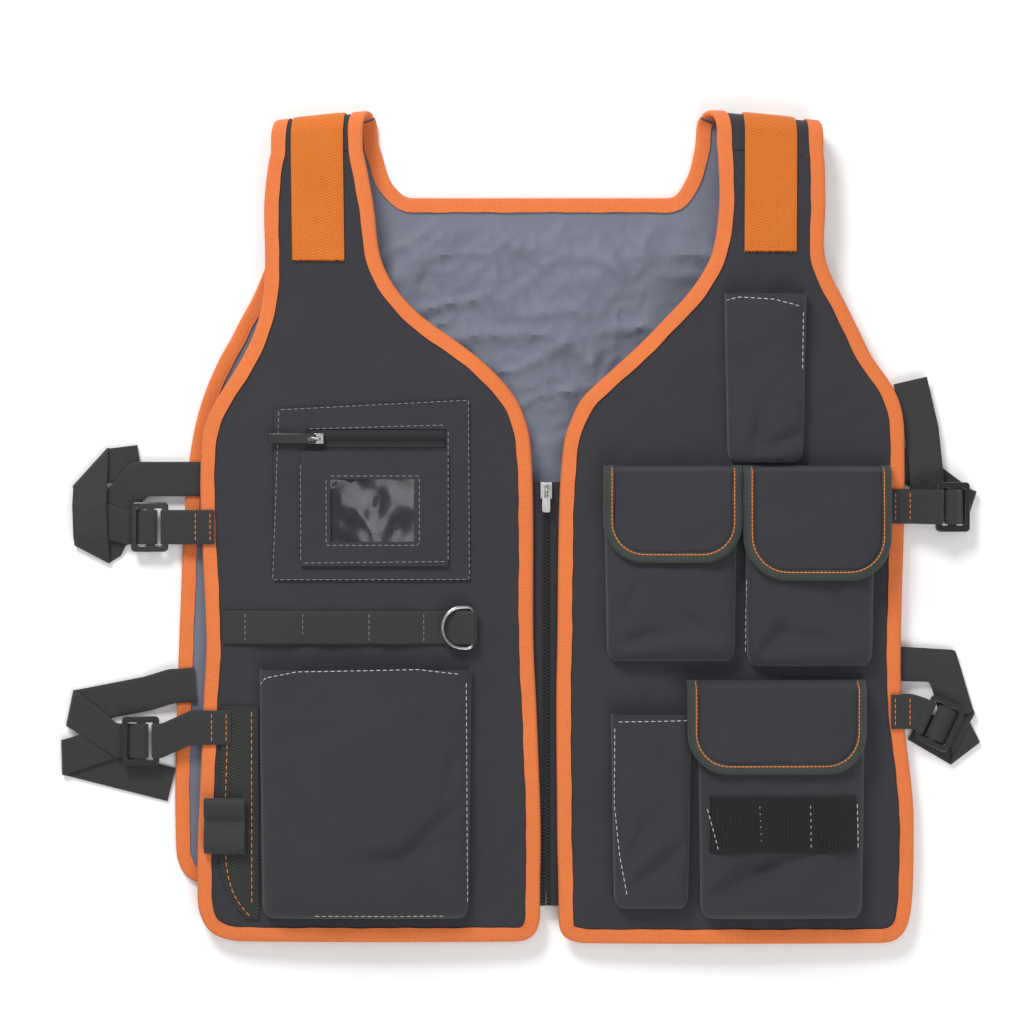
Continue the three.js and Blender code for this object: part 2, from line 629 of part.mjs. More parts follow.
function buildFlap(name, flap) {
  const half = flap.width * FRONT_WIDTH / 2;
  const round = flap.round * FRONT_WIDTH;
  const tip = upToY(flap.tip);
  const mouth = upToY(POCKETS[flap.over].mouth);
  const rows = [0, 0.5, 1].map((k) => {
    const turn = (Math.PI / 2) * k;
    return { y: tip + round * (1 - Math.cos(turn)), half: half - round * (1 - Math.sin(turn)) };
  });
  rows.push({ y: tip + round * 0.5 + (mouth - tip) * 0.5, half }, { y: mouth + 1.5, half });
  rows.push({ y: (mouth + upToY(flap.top)) / 2 + 1, half }, { y: upToY(flap.top), half });
  const grid = rows.map((row) => archSpots.map((u) => [outToX(flap.x) + u * row.half, row.y]));
  const layer = (h) => grid.map((row) => row.map(([x, y]) => flapPlace(flap, x, y, h)));
  add(`flap_${name}`, shell(layer(FLAP_WALL / 2), layer(-FLAP_WALL / 2)), "cloth");
  const path = [
    ...column(grid, 0).reverse(),
    ...grid[0].slice(1, ARCH_STEPS),
    ...column(grid, ARCH_STEPS),
  ];
  const at = (x, y, h) => flapPlace(flap, x, y, h);
  const strip = channel(at, path, FLAP_BIND_WIDTH, FLAP_WALL / 2, FLAP_BIND_WALL, FLAP_BIND_CLEAR);
  add(`flap_binding_${name}`, strip, "trim");
}
for (const [name, flap] of Object.entries(FLAPS)) buildFlap(name, flap);

// Elastic band across the face of the tool pocket
const ELASTIC = { low: 0.115, high: 0.181, reach: 0.9, wall: 1.2, gap: 0.5 };

function elasticBand() {
  const pocket = POCKETS.tool_pouch;
  const half = pocket.width * FRONT_WIDTH / 2;
  const ys = between(upToY(ELASTIC.low), upToY(ELASTIC.high), 3);
  const layer = (h) => ys.map((y) => between(-1, 1, 8).map((t) => {
    const u = Math.sin(t * Math.PI / 2 * 0.96) * ELASTIC.reach;
    return onFront(outToX(pocket.x) + u * half, y, HALF + PATCH_GAP + pocketDepth(pocket, y) * archAt(u) + h);
  }));
  return shell(layer(ELASTIC.gap + ELASTIC.wall), layer(ELASTIC.gap));
}
add("elastic_band", elasticBand(), "webbing");

// Chest patch with its zip opening, card patch and clear window

const PATCH_WALL = 1.2;
const CHEST_LOW = HALF + PATCH_GAP;
const CHEST_HIGH = CHEST_LOW + PATCH_WALL;
const CHEST = { left: -0.788, right: -0.223, bottom: 0.437, topLeft: 0.641, topRight: 0.651 };
const ZIP_HOLE = { left: -0.692, right: -0.289, bottom: 0.5939, top: 0.6168 };
const WINDOW_WALL = 0.5;
const WINDOW_LOW = CHEST_HIGH + CLEAR;
const CARD_LOW = WINDOW_LOW + WINDOW_WALL + CLEAR;
const CARD = { left: -0.709, right: -0.284, bottom: 0.4534, top: 0.5903 };
const CARD_HOLE = { left: -0.623, right: -0.381, bottom: 0.4828, top: 0.5571 };
const WINDOW_LAP = 5;

function chestPatch() {
  const shares = [
    CHEST.left, (CHEST.left + ZIP_HOLE.left) / 2, ...between(ZIP_HOLE.left, ZIP_HOLE.right, 4),
    CHEST.right,
  ];
  const ups = [...between(CHEST.bottom, ZIP_HOLE.bottom, 4), ZIP_HOLE.top, CHEST.topRight];
  const last = ups.length - 1;
  const layer = (h) => ups.map((up, i) => shares.map((share) => {
    const t = (share - CHEST.left) / (CHEST.right - CHEST.left);
    const height = i === last ? CHEST.topLeft + (CHEST.topRight - CHEST.topLeft) * t : up;
    return onFront(outToX(share), upToY(height), h);
  }));
  return shell(layer(CHEST_HIGH), layer(CHEST_LOW), (i, j) => i !== last - 2 || j < 2 || j > 5);
}
add("chest_patch", chestPatch(), "cloth");

function cardPatch() {
  const shares = [CARD.left, ...between(CARD_HOLE.left, CARD_HOLE.right, 3), CARD.right];
  const ups = [CARD.bottom, ...between(CARD_HOLE.bottom, CARD_HOLE.top, 3), CARD.top];
  const layer = (h) => ups.map((up) => shares.map((share) => onFront(outToX(share), upToY(up), h)));
  const open = (i, j) => i >= 1 && i <= 3 && j >= 1 && j <= 3;
  return shell(layer(CARD_LOW + PATCH_WALL), layer(CARD_LOW), (i, j) => !open(i, j));
}
add("id_patch", cardPatch(), "cloth");

const windowXs = between(outToX(CARD_HOLE.left) - WINDOW_LAP, outToX(CARD_HOLE.right) + WINDOW_LAP, 4);
const windowYs = between(upToY(CARD_HOLE.bottom) - WINDOW_LAP, upToY(CARD_HOLE.top) + WINDOW_LAP, 4);
add("id_window", flatPiece(() => windowXs, windowYs, WINDOW_LOW, WINDOW_LOW + WINDOW_WALL), "vinyl");

// Herringbone patch beside the cargo pocket
const SIDE_PATCH = [
  { up: 0.032, left: 0.87 },
  { up: 0.046, left: 0.9 },
  { up: 0.066, left: 0.928 },
  { up: 0.098, left: 0.945 },
  { up: 0.16, left: 0.948 },
  { up: 0.225, left: 0.944 },
  { up: 0.286, left: 0.94 },
];
const SIDE_PATCH_RIGHT = 0.833;
const sidePatchXs = (i) => between(outToX(-SIDE_PATCH[i].left), outToX(-SIDE_PATCH_RIGHT), 2);
const sidePatchYs = SIDE_PATCH.map((row) => upToY(row.up));
add("side_patch", flatPiece(sidePatchXs, sidePatchYs, CHEST_LOW, CHEST_HIGH), "trim");

// Strips of webbing: each row gives the middle of the strip and half of its width as a vector

const THICK = WEBBING_WALL / 2;

function ribbon(rows, wall = WEBBING_WALL, closed = false) {
  const count = rows.length;
  const rings = rows.map(({ at, half }, k) => {
    const a = rows[closed ? (k - 1 + count) % count : Math.max(k - 1, 0)].at;
    const b = rows[closed ? (k + 1) % count : Math.min(k + 1, count - 1)].at;
    const one = at.clone().sub(a);
    const two = b.clone().sub(at);
    const run = new THREE.Vector3();
    if (one.length() > 1e-6) run.add(one.normalize());
    if (two.length() > 1e-6) run.add(two.normalize());
    const normal = new THREE.Vector3().crossVectors(run, half).normalize().multiplyScalar(wall / 2);
    return [[-1, -1], [1, -1], [1, 1], [-1, 1]].map(([side, face]) => (
      at.clone().addScaledVector(half, side).addScaledVector(normal, face)
    ));
  });
  if (closed) {
    const { points, faces } = sweep(rings, true);
    return geometryOf(points, faces);
  }
  const { points, faces } = sweptSolid(rings, [[-1, -1], [1, -1], [1, 1], [-1, 1]]);
  return geometryOf(points, faces);
}

// Row of webbing held through the cargo side, sewn down in columns, with its end folded round the ring's bar
const LOOP_ROW = { left: -0.938, up: 0.3803, width: 24, rise: 1.6 };
const LOOP_SEAMS = [-0.872, -0.704, -0.512, -0.354];
const RING = { bar: -0.2135, wire: 3.2, wide: 33, deep: 25, corner: 7 };
const ringRadius = RING.wire / 2;
const rowY = upToY(LOOP_ROW.up);
const rowLow = HALF + PATCH_GAP + THICK;
const barX = outToX(RING.bar);
const barTurn = ringRadius + CLEAR + THICK;
const barRise = rowLow + THICK + CLEAR + ringRadius + 1.5;
// The webbing climbs to the ring's bar: distance before the bar and height above the cloth's middle
const LOOP_RUNUP = [
  [22, rowLow + 0.6],
  [15, rowLow + LOOP_ROW.rise + THICK],
  [7, barRise + barTurn - 1.4],
];

function loopWebbing() {
  const rows = [];
  const put = (x, h) => {
    const half = new THREE.Vector3(0, LOOP_ROW.width / 2, 0);
    rows.push({ at: onFront(x, rowY, h), half });
  };
  const seams = [outToX(LOOP_ROW.left), ...LOOP_SEAMS.map(outToX)];
  put(seams[0], rowLow);
  for (let k = 1; k < seams.length; k += 1) {
    const count = 4;
    for (let i = 1; i <= count; i += 1) {
      const t = i / count;
      const rise = LOOP_ROW.rise * (k === 1 ? 0.4 : 1);
      put(seams[k - 1] + (seams[k] - seams[k - 1]) * t, rowLow + rise * Math.sin(Math.PI * t));
    }
  }
  for (const [back, h] of LOOP_RUNUP) put(barX - back, h);
  for (let k = 0; k <= 6; k += 1) {
    const turn = Math.PI * (0.5 - k / 6);
    put(barX + barTurn * Math.cos(turn), barRise + barTurn * Math.sin(turn));
  }
  put(barX - 4, barRise - barTurn);
  put(barX - 12, rowLow);
  return ribbon(rows);
}
add("loop_webbing", loopWebbing(), "webbing");

// A round wire along a closed flat path of points, with the plane's normal given
function wireLoop(points, radius, normal, sides = 8) {
  const count = points.length;
  const rings = points.map((point, k) => {
    const a = points[(k - 1 + count) % count];
    const b = points[(k + 1) % count];
    const run = b.clone().sub(a).normalize();
    const out = new THREE.Vector3().crossVectors(run, normal).normalize();
    return Array.from({ length: sides }, (_, i) => {
      const turn = (2 * Math.PI * i) / sides;
      const [across, up] = [radius * Math.cos(turn), radius * Math.sin(turn)];
      return point.clone().addScaledVector(out, across).addScaledVector(normal, up);
    });
  });
  const { points: all, faces } = sweep(rings, true);
  return geometryOf(all, faces);
}

// The ring lies on the webbing with its bow toward the arm, a little raised
const RING_TILT = 0.11;
const ringCentre = onFront(barX, rowY, barRise);

function dRing() {
  const half = RING.wide / 2 - ringRadius;
  const bow = RING.deep - RING.wire;
  const flat = bow - half * 0.92;
  const spots = [];
  for (const y of [-half + 3, -3, 3, half - 3]) spots.push([0, y]);
  spots.push([-0.9, half - 0.9], [-3, half]);
  spots.push([-flat, half]);
  for (let k = 1; k < 10; k += 1) {
    const turn = Math.PI * k / 10;
    spots.push([-flat - half * 0.92 * Math.sin(turn), half * Math.cos(turn)]);
  }
  spots.push([-flat, -half], [-3, -half], [-0.9, -half + 0.9]);
  const across = new THREE.Vector3(Math.cos(RING_TILT), 0, -Math.sin(RING_TILT));
  const normal = new THREE.Vector3(Math.sin(RING_TILT), 0, Math.cos(RING_TILT));
  const points = spots.map(([x, y]) => (
    ringCentre.clone().addScaledVector(across, x).add(new THREE.Vector3(0, y, 0))
  ));
  return wireLoop(points, ringRadius, normal);
}
add("d_ring", dRing(), "metal");

// Loop of webbing on the side patch, sewn across its middle so that it stands in two bulges
const SIDE_LOOP = { x: -0.931, width: 30, low: 0.1102, high: 0.176, seam: 0.1475, stand: 7, drop: 4.5 };

function sideLoop() {
  const x = outToX(SIDE_LOOP.x);
  const [low, seam, high] = [SIDE_LOOP.low, SIDE_LOOP.seam, SIDE_LOOP.high].map(upToY);
  const base = CHEST_HIGH + CLEAR + THICK;
  const top = base + SIDE_LOOP.stand;
  const turns = [
    [low + 4, base], [seam, base], [high - 4, base], [high - 0.8, base + 1.5], [high, base + 3.5],
    [high - 1.2, top - 1], [high - 5, top], [seam + 6, top - 1], [seam, top - SIDE_LOOP.drop],
    [seam - 6, top - 0.6], [low + 6, top], [low + 1.4, top - 1.2], [low, base + 3.5], [low + 0.8, base + 1.5],
  ];
  const reach = SIDE_LOOP.width / 2;
  return ribbon(turns.map(([y, h]) => {
    const half = onFront(x + reach, y, h).sub(onFront(x - reach, y, h)).divideScalar(2);
    return { at: onFront(x + reach, y, h).sub(half), half };
  }), WEBBING_WALL, true);
}
add("side_loop", sideLoop(), "webbing");

// Main zip under the front edges

const TAPE_WALL = 0.8;
const TAPE_WIDTH = 21;
const TAPE_INNER = 0.4;
const CHAIN_WIDTH = 5.6;
const CHAIN_WALL = 2.2;
const TAPE_GAP = 0.7;
const TAPE_LEVEL = -(BIND_OUTER + TAPE_GAP + TAPE_WALL);
const CHAIN_LEVEL = TAPE_LEVEL + TAPE_WALL + CLEAR;
const ZIP_TOP = 0.554;
const ZIP_FOOT = 0.046;
const zipYs = between(upToY(ZIP_FOOT), upToY(ZIP_TOP), 9);

for (const [name, flip] of Object.entries(FLIP)) {
  const xs = () => [ZIP_X + flip * TAPE_INNER, ZIP_X + flip * TAPE_WIDTH / 2, ZIP_X + flip * TAPE_WIDTH];
  add(`zip_tape_${name}`, flatPiece(xs, zipYs, TAPE_LEVEL, TAPE_LEVEL + TAPE_WALL), "tape");
}
const chainXs = () => [ZIP_X - CHAIN_WIDTH / 2, ZIP_X + CHAIN_WIDTH / 2];
add("zip_chain", flatPiece(chainXs, zipYs, CHAIN_LEVEL, CHAIN_LEVEL + CHAIN_WALL), "tape");

// Chest zip in the opening of the chest patch

const CHEST_TAPE_GAP = 0.6;
const chestZipEnds = [outToX(ZIP_HOLE.left) + CHEST_TAPE_GAP, outToX(ZIP_HOLE.right) - CHEST_TAPE_GAP];
const chestZipXs = between(...chestZipEnds, 4);
const chestZipYs = [upToY(ZIP_HOLE.bottom) + CHEST_TAPE_GAP, upToY(ZIP_HOLE.top) - CHEST_TAPE_GAP];
const chestZipY = (chestZipYs[0] + chestZipYs[1]) / 2;
const CHEST_CHAIN_WIDTH = 4.6;
const CHEST_CHAIN_WALL = 1.6;
const CHEST_CHAIN_LEVEL = CHEST_LOW + TAPE_WALL + CLEAR;
add("chest_zip_tape", flatPiece(() => chestZipXs, chestZipYs, CHEST_LOW, CHEST_LOW + TAPE_WALL), "tape");
const chestChainYs = [chestZipY - CHEST_CHAIN_WIDTH / 2, chestZipY + CHEST_CHAIN_WIDTH / 2];
const chestChainTop = CHEST_CHAIN_LEVEL + CHEST_CHAIN_WALL;
add("chest_zip_chain", flatPiece(() => chestZipXs, chestChainYs, CHEST_CHAIN_LEVEL, chestChainTop), "tape");

// A closed shape drawn flat and made thick along its normal
function plate(outline, holes, thickness) {
  const shape = new THREE.Shape(outline.map(([x, y]) => new THREE.Vector2(x, y)));
  for (const hole of holes) shape.holes.push(new THREE.Path(hole.map(([x, y]) => new THREE.Vector2(x, y))));
  return new THREE.ExtrudeGeometry(shape, { depth: thickness, bevelEnabled: false, steps: 1 });
}
const box = (x0, x1, y0, y1) => [[x0, y0], [x1, y0], [x1, y1], [x0, y1]];
const rounded = (x0, x1, y0, y1, r, steps = 3) => {
  const out = [];
  const corners = [[x1 - r, y1 - r, 0], [x0 + r, y1 - r, 1], [x0 + r, y0 + r, 2], [x1 - r, y0 + r, 3]];
  for (const [cx, cy, from] of corners) {
    for (let k = 0; k <= steps; k += 1) {
      const turn = (Math.PI / 2) * (from + k / steps);
      out.push([cx + r * Math.cos(turn), cy + r * Math.sin(turn)]);
    }
  }
  return out;
};

// A zip slider: a saddle over the chain with a bridge on top that holds the pull.
// Its own frame has the chain along -Y, Z up from the chain's underside.
const SLIDER_LENGTH = 12;
const SLIDER_WALL = 1.1;
const SADDLE_CLEAR = 0.7;
const BRIDGE_WIDTH = 1.6;
const BRIDGE_OPEN = 2.6;
const BRIDGE_LENGTH = 8;
const BRIDGE_BAR = 1.2;
const PULL_WALL = 1.1;

function saddle(chainWidth, chainWall) {
  const inner = chainWidth / 2 + CLEAR;
  const outer = inner + SLIDER_WALL;
  const top = chainWall + SADDLE_CLEAR;
  const foot = SADDLE_CLEAR;
  const across = [
    [-outer, foot], [-inner, foot], [-inner, top], [inner, top], [inner, foot],
    [outer, foot], [outer, top + SLIDER_WALL], [-outer, top + SLIDER_WALL],
  ];
  const body = plate(across, [], SLIDER_LENGTH);
  body.rotateX(Math.PI / 2);
  body.translate(0, SLIDER_LENGTH / 2, 0);
  const seat = top + SLIDER_WALL - 0.2;
  const half = BRIDGE_LENGTH / 2;
  const arch = [
    [-half, seat], [-half + BRIDGE_BAR, seat], [-half + BRIDGE_BAR, seat + 0.2 + BRIDGE_OPEN],
    [half - BRIDGE_BAR, seat + 0.2 + BRIDGE_OPEN], [half - BRIDGE_BAR, seat], [half, seat],
    [half, seat + BRIDGE_OPEN + 0.8], [half - 1, seat + BRIDGE_OPEN + 0.2 + BRIDGE_BAR],
    [-half + 1, seat + BRIDGE_OPEN + 0.2 + BRIDGE_BAR], [-half, seat + BRIDGE_OPEN + 0.8],
  ];
  const bridge = plate(arch, [], BRIDGE_WIDTH);
  bridge.rotateX(Math.PI / 2);
  bridge.rotateZ(Math.PI / 2);
  bridge.translate(-BRIDGE_WIDTH / 2, 0, 0);
  return { body, bridge, pivot: top + SLIDER_WALL + BRIDGE_OPEN / 2 };
}

// Joins closed shapes that touch or overlap into one solid
function joined(...shapes) {
  const solids = shapes.map((shape) => {
    const spots = shape.attributes.position;
    const order = shape.index ? shape.index.array : Array.from({ length: spots.count }, (_, i) => i);
    const mesh = new kernel.Mesh({
      numProp: 3,
      vertProperties: new Float32Array(spots.array),
      triVerts: new Uint32Array(order),
    });
    mesh.merge();
    return new kernel.Manifold(mesh);
  });
  const { vertProperties, triVerts } = kernel.Manifold.union(solids).getMesh();
  const geometry = new THREE.BufferGeometry();
  geometry.setAttribute("position", new THREE.Float32BufferAttribute(vertProperties, 3));
  geometry.setIndex(Array.from(triVerts));
  geometry.computeVertexNormals();
  return geometry;
}

// A frame on a front with its Y axis along a direction of the surface and its Z axis outward
function frontFrame(x, y, h, direction) {
  const step = 4;
  const ahead = onFront(x + direction[0] * step, y + direction[1] * step, h);
  const behind = onFront(x - direction[0] * step, y - direction[1] * step, h);
  const yAxis = ahead.sub(behind).normalize();
  const xAxis = new THREE.Vector3().crossVectors(yAxis, new THREE.Vector3(0, 0, 1)).normalize();
  const zAxis = new THREE.Vector3().crossVectors(xAxis, yAxis);
  return new THREE.Matrix4().makeBasis(xAxis, yAxis, zAxis).setPosition(onFront(x, y, h));
}

// A pull with an eye round the bridge; it lies along -Y from the pivot
function pullPlate(width, length) {
  const eye = BRIDGE_WIDTH / 2 + 0.6;
  const outline = rounded(-width / 2, width / 2, -length, BRIDGE_BAR / 2 + 0.2, 1.4);
  const hole = box(-eye, eye, -BRIDGE_LENGTH / 2 - 1.2, -BRIDGE_BAR / 2);
  const body = plate(outline, [hole], PULL_WALL);
  body.translate(0, 0, -PULL_WALL / 2);
  return body;
}

function buildZipEnd(prefix, frame, chainWidth, chainWall, pull, pullFinish) {
  const { body, bridge, pivot } = saddle(chainWidth, chainWall);
  const slider = joined(body, bridge);
  slider.applyMatrix4(frame);
  add(`${prefix}zip_slider`, slider, "metal");
  const tab = pullPlate(pull.width, pull.length);
  tab.translate(0, 0, pivot);
  tab.applyMatrix4(frame);
  add(`${prefix}zip_pull`, tab, pullFinish);
}
const MAIN_PULL = { width: 6, length: 16 };
const CHEST_PULL = { width: 7.2, length: 34 };
const mainSlider = frontFrame(ZIP_X, upToY(ZIP_TOP) - SLIDER_LENGTH / 2, CHAIN_LEVEL, [0, 1]);
buildZipEnd("", mainSlider, CHAIN_WIDTH, CHAIN_WALL, MAIN_PULL, "metal");
const chestSliderX = outToX(ZIP_HOLE.left) + CHEST_TAPE_GAP + SLIDER_LENGTH / 2;
const chestSlider = frontFrame(chestSliderX, chestZipY, CHEST_CHAIN_LEVEL, [1, 0]);
buildZipEnd("chest_", chestSlider, CHEST_CHAIN_WIDTH, CHEST_CHAIN_WALL, CHEST_PULL, "plastic");

// Side straps. Each has a tab sewn on a front edge that holds a buckle, and a strap that runs
// from the back, through the buckle and on. Places are shares of FRONT_WIDTH out from the zip line
// and of VEST_LENGTH up; lift counts thicknesses of webbing above the surface the vest lies on.

const BUCKLE = { wide: 36, inner: -13, outer: 14, slotWide: 27, wall: 3, round: 3 };
const BUCKLE_SLOTS = [[-9, -2.5], [2.5, 10]];
const BEND_LIMIT = THREE.MathUtils.degToRad(66);

const STRAPS = {
  upper_left: {
    buckle: { out: -1.1505, up: 0.5, lift: 5.9, yaw: 180, tilt: 0 },
    tab: { start: -0.962, edge: -1.03, up: 0.5 },
    reach: 18,
    before: [
      { out: -0.975, up: 0.5578, lift: 3.85 }, { out: -1.045, up: 0.5578, lift: 4 },
      { out: -1.1855, up: 0.5578, lift: 3.4 }, { out: -1.2906, up: 0.5084, lift: 1.7, leave: 3.4 },
    ],
    after: [
      { out: -1.27, up: 0.482, lift: 0.75 }, { out: -1.3228, up: 0.4686, lift: 0.75, leave: 2.6 },
      { out: -1.3257, up: 0.49, lift: 5.4 }, { out: -1.3286, up: 0.5264, lift: 5.6 },
      { out: -1.3257, up: 0.571, lift: 3.4, leave: 1.6 }, { out: -1.185, up: 0.5783, lift: 1.4 },
    ],
  },
  lower_left: {
    buckle: { out: -1.1767, up: 0.2434, lift: 5.9, yaw: 180, tilt: 0 },
    tab: { start: -0.915, edge: -1.03, up: 0.2602 },
    reach: 18,
    before: [
      { out: -1.02, up: 0.3106, lift: 3.9 }, { out: -1.09, up: 0.309, lift: 3.9 },
      { out: -1.16, up: 0.3, lift: 1.6 }, { out: -1.384, up: 0.2819, lift: 0.75, leave: 2.7 },
    ],
    after: [{ out: -1.4075, up: 0.2229, lift: 2.6, leave: 0.75 }, { out: -1.092, up: 0.19, lift: 0.75 }],
  },
  upper_right: {
    buckle: { out: 1.177, up: 0.524, lift: 10, yaw: 0, tilt: -20 },
    tab: { start: 1.0, edge: 1.06, up: 0.5247 },
    reach: 12,
    before: [
      { out: 1.0, up: 0.5735, lift: 3.85 }, { out: 1.055, up: 0.5735, lift: 3.85 },
      { out: 1.09, up: 0.566, lift: 1.2 }, { out: 1.2268, up: 0.524, lift: 0.75, leave: 4.9 },
    ],
    after: [
      { out: 1.221, up: 0.524, lift: 3.6, leave: 2.1 }, { out: 1.115, up: 0.524, lift: 2.1, leave: 3.5 },
      { out: 1.109, up: 0.55, lift: 4.1 }, { out: 1.105, up: 0.569, lift: 4.8 },
      { out: 1.093, up: 0.617, lift: 4.2 }, { out: 1.06, up: 0.676, lift: 3.9 },
    ],
  },
  lower_right: {
    buckle: { out: 1.142, up: 0.265, lift: 5.9, yaw: -25, tilt: 0 },
    tab: { start: 1.0, edge: 1.07, up: 0.279 },
    reach: 18,
    before: [
      { out: 0.995, up: 0.3355, lift: 3.85 }, { out: 1.045, up: 0.3355, lift: 3.4 },
      { out: 1.156, up: 0.333, lift: 2.2 }, { out: 1.213, up: 0.253, lift: 1.7, leave: 3.4 },
    ],
    after: [{ out: 1.222, up: 0.228, lift: 1.9, leave: 0.75 }, { out: 1.08, up: 0.262, lift: 0.75 }],
  },
};

const spot = ({ out, up, lift }) => new THREE.Vector3(outToX(out), upToY(up), lift * WEBBING_WALL);

// Rows of a strip laid along points: small turns are bends in its plane, larger ones are folds.
// side tells which edge leads and changes over at each fold.
function foldStrip(points, side = 1) {
  const rows = [];
  const half = STRAP_WIDTH / 2;
  const heading = (a, b) => new THREE.Vector3(b.x - a.x, b.y - a.y, 0).normalize();
  const left = (d) => new THREE.Vector3(-d.y, d.x, 0);
  points.forEach((point, k) => {
    const into = k > 0 ? heading(points[k - 1], point) : heading(point, points[k + 1]);
    const onward = k < points.length - 1 ? heading(point, points[k + 1]) : into;
    const turn = into.angleTo(onward);
    if (point.leave === undefined) {
      const mean = left(into).add(left(onward)).normalize();
      const reach = side * half / Math.cos(Math.min(turn, BEND_LIMIT) / 2);
      rows.push({ at: point, half: mean.multiplyScalar(reach) });
      return;
    }
    const line = into.clone().add(onward);
    if (line.length() < 0.05) line.copy(left(into));
    line.normalize();
    if (line.dot(left(into)) < 0) line.negate();
    const across = line.clone().multiplyScalar(side * half / Math.sin(line.angleTo(into)));
    const outward = into.clone().sub(onward).normalize();
    const roll = (point.leave - point.z) / 2;
    for (let i = 0; i <= 4; i += 1) {
      const a = Math.PI * (i / 4 - 0.5);
      const at = point.clone().addScaledVector(outward, Math.abs(roll) * Math.cos(a));
      at.z = point.z + roll + roll * Math.sin(a);
      rows.push({ at, half: across.clone() });
    }
    side = -side;
  });
  return { rows, side };
}

// Frame of a buckle: its X axis points away from the vest, its Y axis lies along the bars
function buckleFrame({ yaw, tilt, ...where }) {
  const [a, t] = [yaw, tilt].map(THREE.MathUtils.degToRad);
  const out = new THREE.Vector3(Math.cos(a) * Math.cos(t), Math.sin(a) * Math.cos(t), Math.sin(t));
  const bars = new THREE.Vector3(-Math.sin(a), Math.cos(a), 0);
  const normal = new THREE.Vector3().crossVectors(out, bars);
  return new THREE.Matrix4().makeBasis(out, bars, normal).setPosition(spot(where));
}

function buildStrap(name, { buckle, tab, reach, before, after }) {
  const frame = buckleFrame(buckle);
  const bars = new THREE.Vector3().setFromMatrixColumn(frame, 1);
  const local = (u, z) => new THREE.Vector3(u, 0, z).applyMatrix4(frame);
  const body = plate(
    rounded(BUCKLE.inner, BUCKLE.outer, -BUCKLE.wide / 2, BUCKLE.wide / 2, BUCKLE.round),
    BUCKLE_SLOTS.map(([a, b]) => rounded(a, b, -BUCKLE.slotWide / 2, BUCKLE.slotWide / 2, 1, 1)),
    BUCKLE.wall,
  );
  body.translate(0, 0, -BUCKLE.wall / 2);
  body.applyMatrix4(frame);
  add(`buckle_${name}`, body, "plastic");

  // Tab: over the front edge, round the inner bar and back under the edge
  const flip = Math.sign(tab.edge);
  const tabHalf = bars.clone().multiplyScalar(STRAP_WIDTH / 2);
  const straight = new THREE.Vector3(0, flip * STRAP_WIDTH / 2, 0);
  const above = Math.max(BIND_OUTER, CHEST_HIGH) + CLEAR + THICK;
  const onEdge = (out, h) => onFront(outToX(out), upToY(tab.up), h);
  const turnIn = [[-14.4, 2.6], [-10, 2.6], [-8.1, 2], [-7.5, 0], [-8.1, -2], [-10, -2.6], [-14.4, -2.6]];
  const rows = [
    { at: onEdge(tab.start, above), half: straight },
    { at: onEdge((tab.start + tab.edge) / 2, above), half: straight },
    { at: onEdge(tab.edge, above), half: straight },
    ...turnIn.map(([u, z]) => ({ at: local(u, z), half: tabHalf })),
    { at: onEdge(tab.edge, -above - 0.4), half: straight },
    { at: onEdge(tab.edge - flip * 0.045, -above), half: straight },
  ];
  add(`tab_${name}`, ribbon(rows), "webbing");

  // Strap: in under the outer bar, over the middle bar and back out under both
  const through = [
    [reach, -3.2], [11, -3.1], [7.4, -1.4], [5, 1.4], [3, 2.6], [0, 2.75], [-3, 2.4],
    [-4.5, 1], [-4.7, -1.6], [-3.4, -4.2], [-1, -5.1], [8, -5.2], [reach, -5.2],
  ];
  const laid = (row) => Object.assign(spot(row), row.leave && { leave: row.leave * WEBBING_WALL });
  const flat = before.map(laid);
  const first = foldStrip([...flat, local(reach, -3.2)]);
  first.rows.pop();
  const wrapHalf = bars.clone().multiplyScalar(-first.side * STRAP_WIDTH / 2);
  const second = foldStrip([local(reach, -5.2), ...after.map(laid)], -first.side);
  second.rows.shift();
  const wrap = through.map(([u, z]) => ({ at: local(u, z), half: wrapHalf }));
  add(`strap_${name}`, ribbon([...first.rows, ...wrap, ...second.rows]), "webbing");
}
for (const [name, strap] of Object.entries(STRAPS)) buildStrap(name, strap);

// The vest stands with the middle of its outline over the origin and its lowest point on the surface
const bounds = new THREE.Box3().setFromObject(vest);
const middle = bounds.getCenter(new THREE.Vector3());
vest.position.set(-middle.x, -middle.y, -bounds.min.z);

export default vest;
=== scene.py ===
"""Looks of a utility work vest that lies flat on its back.

Cloth, trims, stitches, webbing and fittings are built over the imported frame, in metres.
Sizes inside the classes are millimetres in the garment's own drawing; Drawing.world() places them.
"""

import logging
import math
from collections.abc import Callable, Sequence
from dataclasses import dataclass, field
from enum import Enum

import bmesh
import bpy
import numpy as np
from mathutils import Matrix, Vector
from numpy.typing import ArrayLike, NDArray


